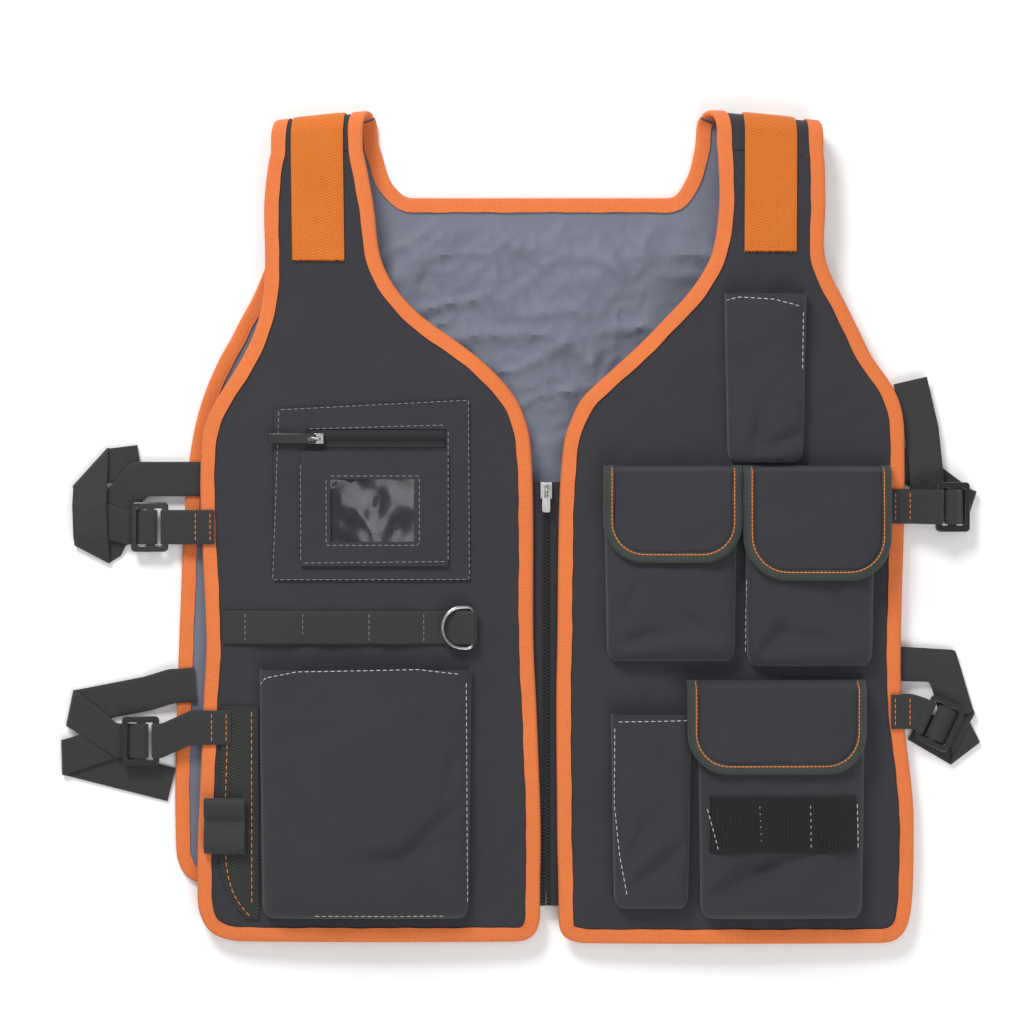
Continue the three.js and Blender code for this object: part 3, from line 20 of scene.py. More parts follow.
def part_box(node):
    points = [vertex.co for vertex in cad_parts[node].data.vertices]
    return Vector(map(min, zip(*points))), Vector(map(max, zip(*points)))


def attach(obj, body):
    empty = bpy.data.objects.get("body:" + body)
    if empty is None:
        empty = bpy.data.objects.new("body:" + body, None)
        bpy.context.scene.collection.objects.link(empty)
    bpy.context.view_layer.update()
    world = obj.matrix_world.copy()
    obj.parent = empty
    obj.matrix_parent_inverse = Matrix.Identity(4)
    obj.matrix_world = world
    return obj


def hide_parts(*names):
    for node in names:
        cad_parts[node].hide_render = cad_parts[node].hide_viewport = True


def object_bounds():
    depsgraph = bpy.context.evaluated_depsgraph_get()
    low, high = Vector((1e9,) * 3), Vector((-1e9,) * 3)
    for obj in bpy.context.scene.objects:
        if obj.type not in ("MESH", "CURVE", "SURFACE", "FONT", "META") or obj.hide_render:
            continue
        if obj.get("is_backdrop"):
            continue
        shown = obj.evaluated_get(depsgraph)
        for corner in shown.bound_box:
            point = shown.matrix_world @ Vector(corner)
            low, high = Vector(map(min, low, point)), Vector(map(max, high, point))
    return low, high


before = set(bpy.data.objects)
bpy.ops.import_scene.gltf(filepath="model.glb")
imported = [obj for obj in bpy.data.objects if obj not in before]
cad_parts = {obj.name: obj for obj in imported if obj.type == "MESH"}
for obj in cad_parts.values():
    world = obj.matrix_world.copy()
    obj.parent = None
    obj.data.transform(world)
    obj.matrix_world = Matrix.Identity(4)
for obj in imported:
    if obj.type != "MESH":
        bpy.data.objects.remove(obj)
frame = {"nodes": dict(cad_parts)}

log = logging.getLogger("work_vest")
Grid = NDArray[np.float64]
Faces = NDArray[np.int64]
Surface = Callable[[ArrayLike, ArrayLike, ArrayLike], Grid]

CAD_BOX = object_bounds()
MM = 0.001

# Sizes of the vest in millimetres
VEST_LENGTH = 606.0
FRONT_WIDTH = 250.0
ZIP_X = 24.8
ZIP_FOOT = 0.046
ZIP_TOP = 0.554
LOFT = 24.0
HALF = 1.0
CLEAR = 0.35
BIND_WIDTH = 10.5
BIND_WALL = 0.8
WEBBING = 1.4
STRAP_WIDTH = 25.0
BAND_WIDTH = 37.5
BIND_OUTER = HALF + CLEAR + BIND_WALL
EDGE_BUILD = CLEAR + BIND_WALL
BAND_INNER = HALF + CLEAR
BAND_OUTER = BAND_INNER + 1.6
BACK_LEVEL = BIND_OUTER
SHOULDER_LEVEL = BAND_OUTER + 0.1
FOLD_RADIUS = (LOFT - SHOULDER_LEVEL) / 2
FOLD_CENTRE = VEST_LENGTH / 2 - BAND_OUTER - FOLD_RADIUS
FOLD_LENGTH = math.pi * FOLD_RADIUS
SEAM_DROP = 16.5
SEAM_Y = FOLD_CENTRE - SEAM_DROP
SEAM_S = FOLD_CENTRE + FOLD_LENGTH + SEAM_DROP
PATCH_GAP = 0.5
PATCH_WALL = 1.2
CHEST_LOW = HALF + PATCH_GAP
CHEST_HIGH = CHEST_LOW + PATCH_WALL

# Cloth edges of the fronts: height, zip side and arm side, as shares of length and front width
LEFT_EDGES = np.array([
    (0.0035, 0.07, 0.9), (0.012, 0.034, 0.965), (0.026, 0.02, 0.995), (0.045, 0.0175, 1.011),
    (0.0747, 0.0175, 1.013), (0.12, 0.0155, 1.012), (0.171, 0.0175, 1.007), (0.2916, 0.029, 0.9956),
    (0.364, 0.037, 0.987), (0.5325, 0.038, 1.004), (0.605, 0.0467, 0.9985), (0.629, 0.0613, 0.984),
    (0.653, 0.0876, 0.9547), (0.677, 0.134, 0.9168), (0.701, 0.1956, 0.8818), (0.725, 0.2745, 0.8526),
    (0.749, 0.356, 0.832), (0.773, 0.4146, 0.82), (0.7976, 0.4555, 0.8146), (0.8265, 0.482, 0.813),
    (0.884, 0.499, 0.815), (0.952, 0.53, 0.8),
])
RIGHT_EDGES = np.array([
    (0.0015, 0.11, 0.985), (0.008, 0.055, 1.025), (0.022, 0.038, 1.049), (0.045, 0.036, 1.061),
    (0.0747, 0.035, 1.0657), (0.12, 0.032, 1.0675), (0.171, 0.031, 1.0657), (0.2916, 0.029, 1.0336),
    (0.364, 0.032, 1.0307), (0.5325, 0.038, 1.041), (0.605, 0.0526, 1.0394), (0.629, 0.073, 1.0365),
    (0.653, 0.102, 1.022), (0.677, 0.1635, 0.99), (0.701, 0.2277, 0.946), (0.725, 0.289, 0.917),
    (0.749, 0.3445, 0.8876), (0.773, 0.4, 0.858), (0.7976, 0.444, 0.826), (0.8265, 0.479, 0.803),
    (0.884, 0.499, 0.806), (0.952, 0.495, 0.803),
])

# Edges of the back: height, left, neck left, neck right and right, in the same shares
BACK_EDGES = np.array([
    (0.069, 0.985, 0.37, 0.3, 0.935), (0.077, 1.04, 0.37, 0.3, 0.985), (0.091, 1.066, 0.37, 0.3, 1.008),
    (0.111, 1.078, 0.37, 0.3, 1.018), (0.219, 1.08, 0.37, 0.3, 1.019), (0.412, 1.065, 0.37, 0.3, 1.025),
    (0.5325, 1.051, 0.37, 0.3, 1.0336), (0.605, 1.0307, 0.37, 0.3, 1.0445), (0.653, 1.0015, 0.37, 0.3, 1.0336),
    (0.701, 0.953, 0.37, 0.3, 0.946), (0.725, 0.9197, 0.37, 0.3, 0.908), (0.749, 0.8905, 0.37, 0.3, 0.8775),
    (0.773, 0.858, 0.37, 0.3, 0.847), (0.7976, 0.832, 0.37, 0.3, 0.82), (0.8265, 0.806, 0.375, 0.305, 0.797),
    (0.855, 0.793, 0.385, 0.32, 0.786), (0.895, 0.785, 0.415, 0.378, 0.782), (0.91, 0.782, 0.448, 0.4, 0.782),
    (0.925, 0.779, 0.465, 0.418, 0.783), (0.942, 0.774, 0.476, 0.428, 0.784),
    (0.962, 0.77, 0.492, 0.438, 0.785),
])
NECK_UP = 0.895
FOLD_EDGES = np.array([0.795, 0.53, 0.492, 0.8])

# Height of the fronts' middle surface across each front, as shares of the loft
FRONT_HEIGHT = np.array([
    (0, 0.46, 0.6, 0.42), (0.06, 0.49, 0.68, 0.42), (0.12, 0.51, 0.75, 0.42), (0.25, 0.54, 0.82, 0.4),
    (0.4, 0.57, 0.87, 0.42), (0.55, 0.62, 0.9, 0.46), (0.65, 0.72, 0.93, 0.56), (0.75, 0.85, 0.96, 0.74),
    (0.85, 0.96, 1, 0.93), (0.92, 1, 1, 1), (1, 1, 1, 1),
])


class Side(Enum):
    """The two sides of the vest as seen from above."""

    LEFT = -1
    RIGHT = 1

    @property
    def word(self) -> str:
        """The side's name as it stands in piece names."""
        return self.name.lower()


class Slot(Enum):
    """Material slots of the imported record."""

    CLOTH = "charcoal_cloth"
    LINING = "lining"
    BINDING = "orange_binding"
    BAND = "orange_webbing"
    WEBBING = "black_webbing"
    TRIM = "flap_trim"
    PATCH = "herringbone"
    TAPE = "zip_tape"
    TEETH = "zip_teeth"
    PLASTIC = "black_plastic"
    VINYL = "clear_vinyl"
    METAL = "nickel"


def smooth(value: ArrayLike) -> Grid:
    """Ease from 0 to 1: three times the square less twice the cube of the clamped value."""
    t = np.clip(value, 0.0, 1.0)
    return t * t * (3.0 - 2.0 * t)


def read(table: Grid, column: int, up: ArrayLike) -> Grid:
    """Read a table at height shares through a cubic that passes every row.

    Formula: Hermite cubic of the two rows around the height, whose slopes are the
    differences of the neighbouring rows.

    Args:
        table: Rows whose first column is the height share.
        column: Column to read.
        up: Height shares.

    Returns:
        The column's value at each height.
    """
    ups, values = table[:, 0], table[:, column]
    slopes = np.gradient(values, ups)
    slopes[1:-1] = (values[2:] - values[:-2]) / (ups[2:] - ups[:-2])
    up = np.clip(up, ups[0], ups[-1])
    k = np.clip(np.searchsorted(ups, up, side="right") - 1, 0, len(ups) - 2)
    span = ups[k + 1] - ups[k]
    t = (up - ups[k]) / span
    return (
        (2 * t**3 - 3 * t**2 + 1) * values[k] + (t**3 - 2 * t**2 + t) * slopes[k] * span
        + (3 * t**2 - 2 * t**3) * values[k + 1] + (t**3 - t**2) * slopes[k + 1] * span
    )


def ripple(x: ArrayLike, y: ArrayLike, size: float, seed: int) -> Grid:
    """Uneven lie of cloth: the mean of eight sine waves of about one size in seeded directions.

    Args:
        x: Places across, in millimetres.
        y: Places along, in millimetres.
        size: Wavelength in millimetres.
        seed: Seed of the directions.

    Returns:
        Values from about -1 to 1.
    """
    rng = np.random.default_rng(seed)
    total = 0.0
    for turn, start, scale in zip(
        rng.uniform(0, math.tau, 8), rng.uniform(0, math.tau, 8), rng.uniform(0.6, 1.6, 8)
    ):
        total = total + np.sin(
            (np.cos(turn) * np.asarray(x) + np.sin(turn) * np.asarray(y)) * math.tau / (size * scale) + start
        )
    return total / 4.0


def crumple(x: ArrayLike, y: ArrayLike, size: float, seed: int) -> Grid:
    """Sharp creases of crushed cloth: the square of one less the absolute of an uneven wave."""
    return (1 - np.minimum(1, np.abs(ripple(x, y, size, seed)) * 1.6)) ** 2


@dataclass(frozen=True)
class Crease:
    """One soft fold of cloth: its middle in millimetres, direction, length, width and rise."""

    x: float
    y: float
    angle: float
    length: float
    width: float
    rise: float

    def height(self, x: ArrayLike, y: ArrayLike) -> Grid:
        """Rise at places: a bell across the fold that eases out at both ends.

        Args:
            x: Place across.
            y: Height on the drawing.

        Returns:
            The rise in millimetres.
        """
        turn = math.radians(self.angle)
        dx, dy = np.asarray(x) - self.x, np.asarray(y) - self.y
        along = (dx * math.cos(turn) + dy * math.sin(turn)) / (self.length / 2)
        across = (dy * math.cos(turn) - dx * math.sin(turn)) / self.width
        return self.rise * np.exp(-(across**2)) * smooth(1.15 - np.abs(along))


def creased(creases: Sequence[Crease], x: ArrayLike, y: ArrayLike) -> Grid:
    """Sum of the rises of several folds."""
    return sum((crease.height(x, y) for crease in creases), np.zeros(np.broadcast(x, y).shape))


def up_to_y(up: ArrayLike) -> Grid:
    """Height share to millimetres from the middle of the vest."""
    return (np.asarray(up) - 0.5) * VEST_LENGTH


def out_to_x(out: ArrayLike) -> Grid:
    """Share of the front width, out from the zip line, to millimetres."""
    return ZIP_X + np.asarray(out) * FRONT_WIDTH


def y_at(up: float) -> float:
    """One height share to millimetres."""
    return float(up_to_y(up))


def x_at(out: float) -> float:
    """One share of the front width to millimetres."""
    return float(out_to_x(out))


class Drawing:
    """The garment's surfaces in its own millimetres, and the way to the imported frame."""

    def __init__(self) -> None:
        """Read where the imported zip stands, which fixes the drawing in the frame."""
        low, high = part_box("zip_chain")
        self.shift = np.array([
            (low[0] + high[0]) / 2 / MM - ZIP_X,
            low[1] / MM - y_at(ZIP_FOOT),
            0.0,
        ])
        self.lining = (
            Crease(49.8, 169.7, 33, 155, 21, 5.0), Crease(19.8, 115.1, 47, 105, 16, 3.6),
            Crease(109.8, 142.4, -28, 75, 14, 2.8), Crease(-30.2, 181.8, -12, 75, 14, 3.0),
            Crease(15, 150, 62, 90, 6, 1.6), Crease(70, 200, -62, 70, 6, 1.4), Crease(-20, 205, 70, 60, 6, 1.4),
            Crease(85, 110, 58, 80, 7, 1.8), Crease(5, 205, -40, 60, 5, 1.3), Crease(55, 225, 25, 80, 7, 1.4),
            Crease(120, 205, 65, 60, 6, 1.2), Crease(-55, 225, 40, 60, 6, 1.2), Crease(40, 80, 80, 60, 6, 1.2),
            Crease(30, 185, -25, 60, 4, 1.1), Crease(90, 170, 10, 50, 4, 1.0), Crease(-5, 165, 15, 45, 4, 1.0),
        )

    def world(self, points: Grid) -> Grid:
        """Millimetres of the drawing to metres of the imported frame."""
        return (points + self.shift) * MM

    def front_height(self, x: Grid, y: Grid) -> Grid:
        """Height of the fronts' middle: a parabola through zip side, middle and arm side.

        Args:
            x: Place across.
            y: Height on the drawing.

        Returns:
            The height over the floor.
        """
        up = np.clip(y / VEST_LENGTH + 0.5, 0, 1)
        out = np.abs(x - ZIP_X) / FRONT_WIDTH
        left = x < ZIP_X
        zips = np.where(left, read(LEFT_EDGES, 1, up), read(RIGHT_EDGES, 1, up))
        arms = np.where(left, read(LEFT_EDGES, 2, up), read(RIGHT_EDGES, 2, up))
        t = np.clip((out - zips) / (arms - zips), 0, 1)
        a, m, b = (read(FRONT_HEIGHT, k, up) for k in (1, 2, 3))
        return LOFT * (a * (1 - t) * (1 - 2 * t) + 4 * m * t * (1 - t) + b * t * (2 * t - 1))

    def slope_drop(self, x: Grid, y: Grid) -> Grid:
        """Fall of the shoulders toward the arms: a tenth of the way out, eased in near the fold."""
        out = np.maximum(0, np.abs(x - ZIP_X) - 0.5 * FRONT_WIDTH)
        return 0.1 * out * smooth(1 - (FOLD_CENTRE - y) / 60.0)

    def lining_rise(self, x: Grid, y: Grid) -> Grid:
        """Folds of the back that show between the fronts, faded toward neck and waist.

        Args:
            x: Place across.
            y: Height on the drawing.

        Returns:
            The rise in millimetres.
        """
        fade = smooth((up_to_y(0.885) - y) / 35) * smooth((y - up_to_y(0.56)) / 60)
        fade = fade * smooth((0.78 * FRONT_WIDTH - np.abs(x - ZIP_X)) / 40)
        crushed = 4.4 * crumple(x, y, 110.0, 12) + 3.4 * crumple(x, y, 58.0, 14) + 1.9 * crumple(x, y, 27.0, 17)
        return (creased(self.lining, x, y) + crushed) * fade

    def place(self, x: ArrayLike, s: ArrayLike, h: ArrayLike) -> Grid:
        """A place on the garment.

        Formula: up to the fold the back lies flat with its folds; round the fold the place
        runs on a half circle; beyond it the place lies on the fronts' surface.

        Args:
            x: Place across.
            s: Way up the back, over the shoulder and down the fronts.
            h: Distance outward from the cloth's middle.

        Returns:
            Points, in millimetres, with a last axis of three.
        """
        x, s, h = np.broadcast_arrays(*(np.asarray(v, float) for v in (x, s, h)))
        rise = smooth(1 - (FOLD_CENTRE - 65.0 - s) / 90.0)
        level = BACK_LEVEL + (SHOULDER_LEVEL - BACK_LEVEL) * rise + self.lining_rise(x, s)
        back = np.stack([x, s - self.slope_drop(x, s), level - h], -1)
        turn = np.clip((s - FOLD_CENTRE) / FOLD_RADIUS, 0, math.pi)
        radius = FOLD_RADIUS + h
        fold_y = FOLD_CENTRE + radius * np.sin(turn) - self.slope_drop(x, np.full_like(x, FOLD_CENTRE))
        fold = np.stack([x, fold_y, SHOULDER_LEVEL + FOLD_RADIUS - radius * np.cos(turn)], -1)
        y = 2 * FOLD_CENTRE + FOLD_LENGTH - s
        front = np.stack([x, y - self.slope_drop(x, y), self.front_height(x, y) + h], -1)
        on_back = (s <= FOLD_CENTRE)[..., None]
        on_fold = (s <= FOLD_CENTRE + FOLD_LENGTH)[..., None]
        return np.where(on_back, back, np.where(on_fold, fold, front))

    def wave(self, x: Grid, y: Grid) -> Grid:
        """Small unevenness of the front cloth, still at the edges and the shoulders.

        Args:
            x: Place across.
            y: Height on the drawing.

        Returns:
            The rise in millimetres.
        """
        up = np.clip(y / VEST_LENGTH + 0.5, 0, 1)
        out = np.abs(x - ZIP_X) / FRONT_WIDTH
        left = x < ZIP_X
        zips = np.where(left, read(LEFT_EDGES, 1, up), read(RIGHT_EDGES, 1, up))
        arms = np.where(left, read(LEFT_EDGES, 2, up), read(RIGHT_EDGES, 2, up))
        inside = smooth((out - zips) / 0.14) * smooth((arms - out) / 0.14) * smooth((up - 0.01) / 0.05)
        long_wave = ripple(x, y, 75.0, 3) + 0.8 * crumple(x, y, 150.0, 21)
        return inside * (0.8 * long_wave + 0.3 * ripple(x, y, 24.0, 8)) * smooth((0.97 - up) / 0.1)

    def on_front(self, x: ArrayLike, y: ArrayLike, h: ArrayLike) -> Grid:
        """A place on a front, with the cloth's small unevenness."""
        x, y, h = np.broadcast_arrays(*(np.asarray(v, float) for v in (x, y, h)))
        return self.place(x, self.front_s(y), h + self.wave(x, y))

    @staticmethod
    def front_s(y: ArrayLike) -> Grid:
        """Way over the shoulder down to a height on the fronts."""
        return 2 * FOLD_CENTRE + FOLD_LENGTH - np.asarray(y, float)


DRAWING = Drawing()


# Meshes


def grid_quads(rows: int, columns: int) -> Faces:
    """Corner numbers of the cells of a grid of points, row by row."""
    i, j = np.meshgrid(np.arange(rows - 1), np.arange(columns - 1), indexing="ij")
    a = (i * columns + j).ravel()
    return np.stack([a, a + 1, a + columns + 1, a + columns], -1)


def arc_lengths(points: Grid) -> Grid:
    """Distance run along a line of points, from its start."""
    steps = np.linalg.norm(np.diff(points, axis=0), axis=-1)
    return np.concatenate([[0.0], np.cumsum(steps)])


def resample(points: Grid, step: float) -> Grid:
    """Points at even steps along a line of points, straight between them.

    Args:
        points: The line's points.
        step: Greatest distance between two points.

    Returns:
        The evenly spaced points.
    """
    run = arc_lengths(points)
    count = max(2, int(round(run[-1] / step)) + 1)
    at = np.linspace(0, run[-1], count)
    return np.stack([np.interp(at, run, points[:, k]) for k in range(points.shape[1])], -1)


def soften(points: Grid, rounds: int = 2) -> Grid:
    """Round a line's corners: each inner point goes to a weighted mean with its neighbours."""
    out = points.copy()
    for _ in range(rounds):
        out[1:-1] = 0.25 * out[:-2] + 0.5 * out[1:-1] + 0.25 * out[2:]
    return out


def fill(ups: Sequence[float], step: float, least: int = 2) -> Grid:
    """Cut the gaps between heights to about one step, with at least some cuts each."""
    parts = []
    for low, high in zip(ups[:-1], ups[1:]):
        parts.append(np.linspace(low, high, max(least, math.ceil((high - low) / step)), endpoint=False))
    return np.concatenate([*parts, [ups[-1]]])


@dataclass
class Solid:
    """Points, faces and surface coordinates of one closed mesh, before it becomes a piece."""

    points: Grid
    quads: Faces
    uv: Grid
    caps: list[list[int]] = field(default_factory=list)

    def joined(self, other: "Solid") -> "Solid":
        """This solid and another one as a single mesh."""
        start = len(self.points)
        return Solid(
            np.concatenate([self.points, other.points]),
            np.concatenate([self.quads, other.quads + start]),
            np.concatenate([self.uv, other.uv]),
            self.caps + [[k + start for k in cap] for cap in other.caps],
        )


def shell(outer: Grid, inner: Grid, uv: Grid, present: NDArray[np.bool_] | None = None) -> Solid:
    """A closed wall between two grids of points.

    Formula: every kept cell gives an outer and an inner quad, and every cell edge
    without a neighbour gives a quad between the two grids.

    Args:
        outer: Grid of outer points, rows by columns by three.
        inner: Grid of inner points of the same shape.
        uv: Surface coordinates in metres, rows by columns by two.
        present: Which cells are kept; all of them when it is None.

    Returns:
        The closed wall.
    """
    rows, columns = outer.shape[:2]
    keep = np.ones((rows - 1, columns - 1), bool) if present is None else present
    cells = grid_quads(rows, columns).reshape(rows - 1, columns - 1, 4)
    size = rows * columns
    parts = [cells[keep], cells[keep][:, ::-1] + size]
    padded = np.pad(keep, 1)
    for (di, dj), (a, b) in {(-1, 0): (0, 1), (0, 1): (1, 2), (1, 0): (2, 3), (0, -1): (3, 0)}.items():
        bare = keep & ~padded[1 + di:rows + di, 1 + dj:columns + dj]
        edge = cells[bare]
        parts.append(np.stack([edge[:, b], edge[:, a], edge[:, a] + size, edge[:, b] + size], -1))
    points = np.concatenate([outer.reshape(-1, 3), inner.reshape(-1, 3)])
    quads = np.concatenate(parts)
    used, quads = np.unique(quads, return_inverse=True)
    flat_uv = np.concatenate([uv.reshape(-1, 2)] * 2)
    return Solid(points[used], quads.reshape(-1, 4), flat_uv[used])


def sweep(rings: Grid, uv: Grid, closed: bool = False) -> Solid:
    """A section carried along a path.

    Formula: neighbouring rings are joined point by point; open ends get one face each.

    Args:
        rings: Rings of section points, rings by points by three.
        uv: Surface coordinates of the same shape with two numbers.
        closed: Whether the last ring joins the first.

    Returns:
        The closed solid.
    """
    count, size = rings.shape[:2]
    steps = count if closed else count - 1
    k, i = np.meshgrid(np.arange(steps), np.arange(size), indexing="ij")
    here, there = k * size, ((k + 1) % count) * size
    j = (i + 1) % size
    quads = np.stack([here + i, here + j, there + j, there + i], -1).reshape(-1, 4)
    end = (count - 1) * size
    caps = [] if closed else [list(range(size))[::-1], list(range(end, end + size))]
    return Solid(rings.reshape(-1, 3), quads, uv.reshape(-1, 2), caps)


def stamp(local: Grid, quads: Faces, caps: Sequence[Sequence[int]], origins: Grid, axes: Grid) -> Solid:
    """Many copies of one small shape.

    Formula: each copy's point is its origin plus the shape's coordinates times its three axes.

    Args:
        local: Points of the small shape.
        quads: Its faces.
        caps: Its end faces.
        origins: Where the copies stand.
        axes: Three axis vectors for each copy.

    Returns:
        All copies as one mesh.
    """
    points = origins[:, None, :] + np.einsum("mk,nkc->nmc", local, axes)
    size = len(local)
    starts = np.arange(len(origins)) * size
    all_quads = (quads[None] + starts[:, None, None]).reshape(-1, 4)
    all_caps = [[k + start for k in cap] for start in starts.tolist() for cap in caps]
    uv = np.tile(local[:, :2] * 0.002, (len(origins), 1))
    return Solid(points.reshape(-1, 3), all_quads, uv, all_caps)


# Finishes


def linear(colour: str) -> tuple[float, float, float, float]:
    """A hex colour as linear red, green and blue with full cover."""
    parts = [int(colour[k:k + 2], 16) / 255 for k in (1, 3, 5)]
    red, green, blue = (c / 12.92 if c <= 0.04045 else ((c + 0.055) / 1.055) ** 2.4 for c in parts)
    return red, green, blue, 1.0


class NodeSheet:
    """A material's node tree with small functions that add nodes."""

    def __init__(self, name: str) -> None:
        """Start an empty tree with a shader and an output.

        Args:
            name: Material name.
        """
        self.material = bpy.data.materials.new(name)
        self.material.use_nodes = True
        self.tree = self.material.node_tree
        self.tree.nodes.clear()
        self.shader = self.add("ShaderNodeBsdfPrincipled")
        output = self.add("ShaderNodeOutputMaterial")
        self.tree.links.new(self.shader.outputs[0], output.inputs[0])

    def add(self, kind: str, inputs: dict | None = None, **settings: object) -> bpy.types.Node:
        """Add a node, set its properties and set or link its inputs.

        Args:
            kind: Node type.
            inputs: Values or sockets by input.
            settings: Properties of the node.

        Returns:
            The node.
        """
        node = self.tree.nodes.new(kind)
        for key, value in settings.items():
            setattr(node, key, value)
        for key, value in (inputs or {}).items():
            self.feed(node.inputs[key], value)
        return node

    def feed(self, socket: bpy.types.NodeSocket, value: object) -> None:
        """Link a socket to another one, or set its number or colour."""
        if isinstance(value, bpy.types.NodeSocket):
            self.tree.links.new(value, socket)
        else:
            socket.default_value = value

    def math(self, operation: str, a: object, b: object = 0.0, c: object = 0.0) -> bpy.types.NodeSocket:
        """One sum of a Math node."""
        return self.add("ShaderNodeMath", {0: a, 1: b, 2: c}, operation=operation).outputs[0]

    def mix(self, factor: object, a: object, b: object) -> bpy.types.NodeSocket:
        """A colour between two colours."""
        node = self.add("ShaderNodeMix", data_type="RGBA")
        for key, value in ((0, factor), (6, a), (7, b)):
            self.feed(node.inputs[key], value)
        return node.outputs[2]

    def noise(self, scale: float, detail: float = 3.0, where: object = None) -> bpy.types.NodeSocket:
        """Noise on the piece's own place; scale counts its cells in a metre."""
        place = where or self.add("ShaderNodeTexCoord").outputs["Object"]
        node = self.add("ShaderNodeTexNoise", {"Vector": place, "Scale": scale, "Detail": detail})
        return node.outputs["Fac"]

    def run(self) -> tuple[bpy.types.NodeSocket, bpy.types.NodeSocket]:
        """The piece's own coordinates in metres, across and along."""
        split = self.add("ShaderNodeSeparateXYZ", {0: self.add("ShaderNodeUVMap", uv_map="lie").outputs[0]})
        return split.outputs[0], split.outputs[1]

    def bump(self, height: object, distance: float, strength: float = 1.0) -> None:
        """Raise the surface by a height field, in metres."""
        node = self.add("ShaderNodeBump", {"Height": height, "Distance": distance, "Strength": strength})
        self.feed(self.shader.inputs["Normal"], node.outputs[0])

    def wave(self, value: object, pitch: float) -> bpy.types.NodeSocket:
        """A sine wave from 0 to 1 along a coordinate, with its pitch in metres."""
        turn = self.math("MULTIPLY", value, math.tau / pitch)
        return self.math("MULTIPLY_ADD", self.math("SINE", turn), 0.5, 0.5)


class Weave(Enum):
    """Ways that the threads of a cloth or tape cross."""

    PLAIN = "plain"
    RIBBED = "ribbed"
    HERRINGBONE = "herringbone"


@dataclass(frozen=True)
class ClothFinish:
    """Woven cloth or tape: two thread tones, the weave and its pitch, and how it takes light."""

    name: str
    colour: str
    dark: str
    weave: Weave = Weave.PLAIN
    pitch: float = 0.0006
    relief: float = 0.00012
    contrast: float = 0.5
    roughness: float = 0.85
    sheen: float = 0.15
    mottle: float = 0.25
    column: float = 0.004
    slant: float = 1.0

    def pattern(self, sheet: NodeSheet) -> bpy.types.NodeSocket:
        """Height of the threads from 0 to 1.

        Formula: plain weave multiplies a wave across by one along; ribs are a wave along with
        a weaker one across; herringbone is a wave along whose start follows a zigzag across.

        Args:
            sheet: Node tree to add to.

        Returns:
            The height's socket.
        """
        u, v = sheet.run()
        if self.weave is Weave.PLAIN:
            across = sheet.math("SINE", sheet.math("MULTIPLY", u, math.tau / self.pitch))
            along = sheet.math("SINE", sheet.math("MULTIPLY", v, math.tau / self.pitch))
            return sheet.math("MULTIPLY_ADD", sheet.math("MULTIPLY", across, along), 0.5, 0.5)
        if self.weave is Weave.RIBBED:
            rib = sheet.math("POWER", sheet.wave(v, self.pitch), 0.7)
            fine = sheet.wave(u, self.pitch * 0.6)
            return sheet.math("MULTIPLY_ADD", fine, 0.25, sheet.math("MULTIPLY", rib, 0.75))
        zigzag = sheet.math("PINGPONG", u, self.column)
        slanted = sheet.math("MULTIPLY_ADD", zigzag, self.slant, v)
        rib = sheet.wave(slanted, self.pitch)
        fine = sheet.wave(sheet.math("MULTIPLY_ADD", zigzag, -self.slant, v), self.pitch * 0.5)
        return sheet.math("MULTIPLY_ADD", fine, 0.2, sheet.math("MULTIPLY", rib, 0.8))

    def make(self) -> bpy.types.Material:
        """The material: thread tones, mottling by two sizes of noise, and thread relief.

        Returns:
            The material.
        """
        sheet = NodeSheet(self.name)
        threads = self.pattern(sheet)
        tone = sheet.mix(sheet.math("MULTIPLY", sheet.math("SUBTRACT", 1.0, threads), self.contrast),
                         linear(self.colour), linear(self.dark))
        cloud = sheet.math(
            "MULTIPLY_ADD", sheet.noise(22.0, 4.0), 0.5, sheet.math("MULTIPLY", sheet.noise(420.0, 2.0), 0.5)
        )
        worn = sheet.math("MULTIPLY", sheet.math("SUBTRACT", cloud, 0.5), self.mottle * 2.0)
        light = sheet.add("ShaderNodeHueSaturation", {"Color": tone, "Value": sheet.math("ADD", 1.0, worn)})
        sheet.feed(sheet.shader.inputs["Base Color"], light.outputs[0])
        rough = sheet.math("MULTIPLY_ADD", cloud, 0.12, self.roughness - 0.06)
        sheet.feed(sheet.shader.inputs["Roughness"], rough)
        sheet.shader.inputs["Sheen Weight"].default_value = self.sheen
        sheet.shader.inputs["Sheen Roughness"].default_value = 0.5
        sheet.shader.inputs["Specular IOR Level"].default_value = 0.3
        height = sheet.math("MULTIPLY_ADD", sheet.noise(900.0, 1.0), 0.35, threads)
        sheet.bump(height, self.relief, 0.8)
        return sheet.material


@dataclass(frozen=True)
class HardFinish:
    """Moulded plastic or plated metal: colour, gloss, and fine marks of use."""

    name: str
    colour: str
    roughness: float = 0.3
    metallic: float = 0.0
    coat: float = 0.0
    marks: float = 0.06

    def make(self) -> bpy.types.Material:
        """The material: colour and gloss varied by noise, with a shallow grain.

        Returns:
            The material.
        """
        sheet = NodeSheet(self.name)
        cloud = sheet.noise(90.0, 5.0)
        shade = sheet.mix(cloud, linear(self.colour), tuple(0.72 * c for c in linear(self.colour)[:3]) + (1.0,))
        sheet.feed(sheet.shader.inputs["Base Color"], shade)
        sheet.feed(
            sheet.shader.inputs["Roughness"],
            sheet.math("MULTIPLY_ADD", sheet.noise(700.0, 4.0), self.marks * 2.0, self.roughness - self.marks),
        )
        sheet.shader.inputs["Metallic"].default_value = self.metallic
        sheet.shader.inputs["Coat Weight"].default_value = self.coat
        sheet.bump(sheet.noise(1600.0, 3.0), 0.00003, 0.5)
        return sheet.material


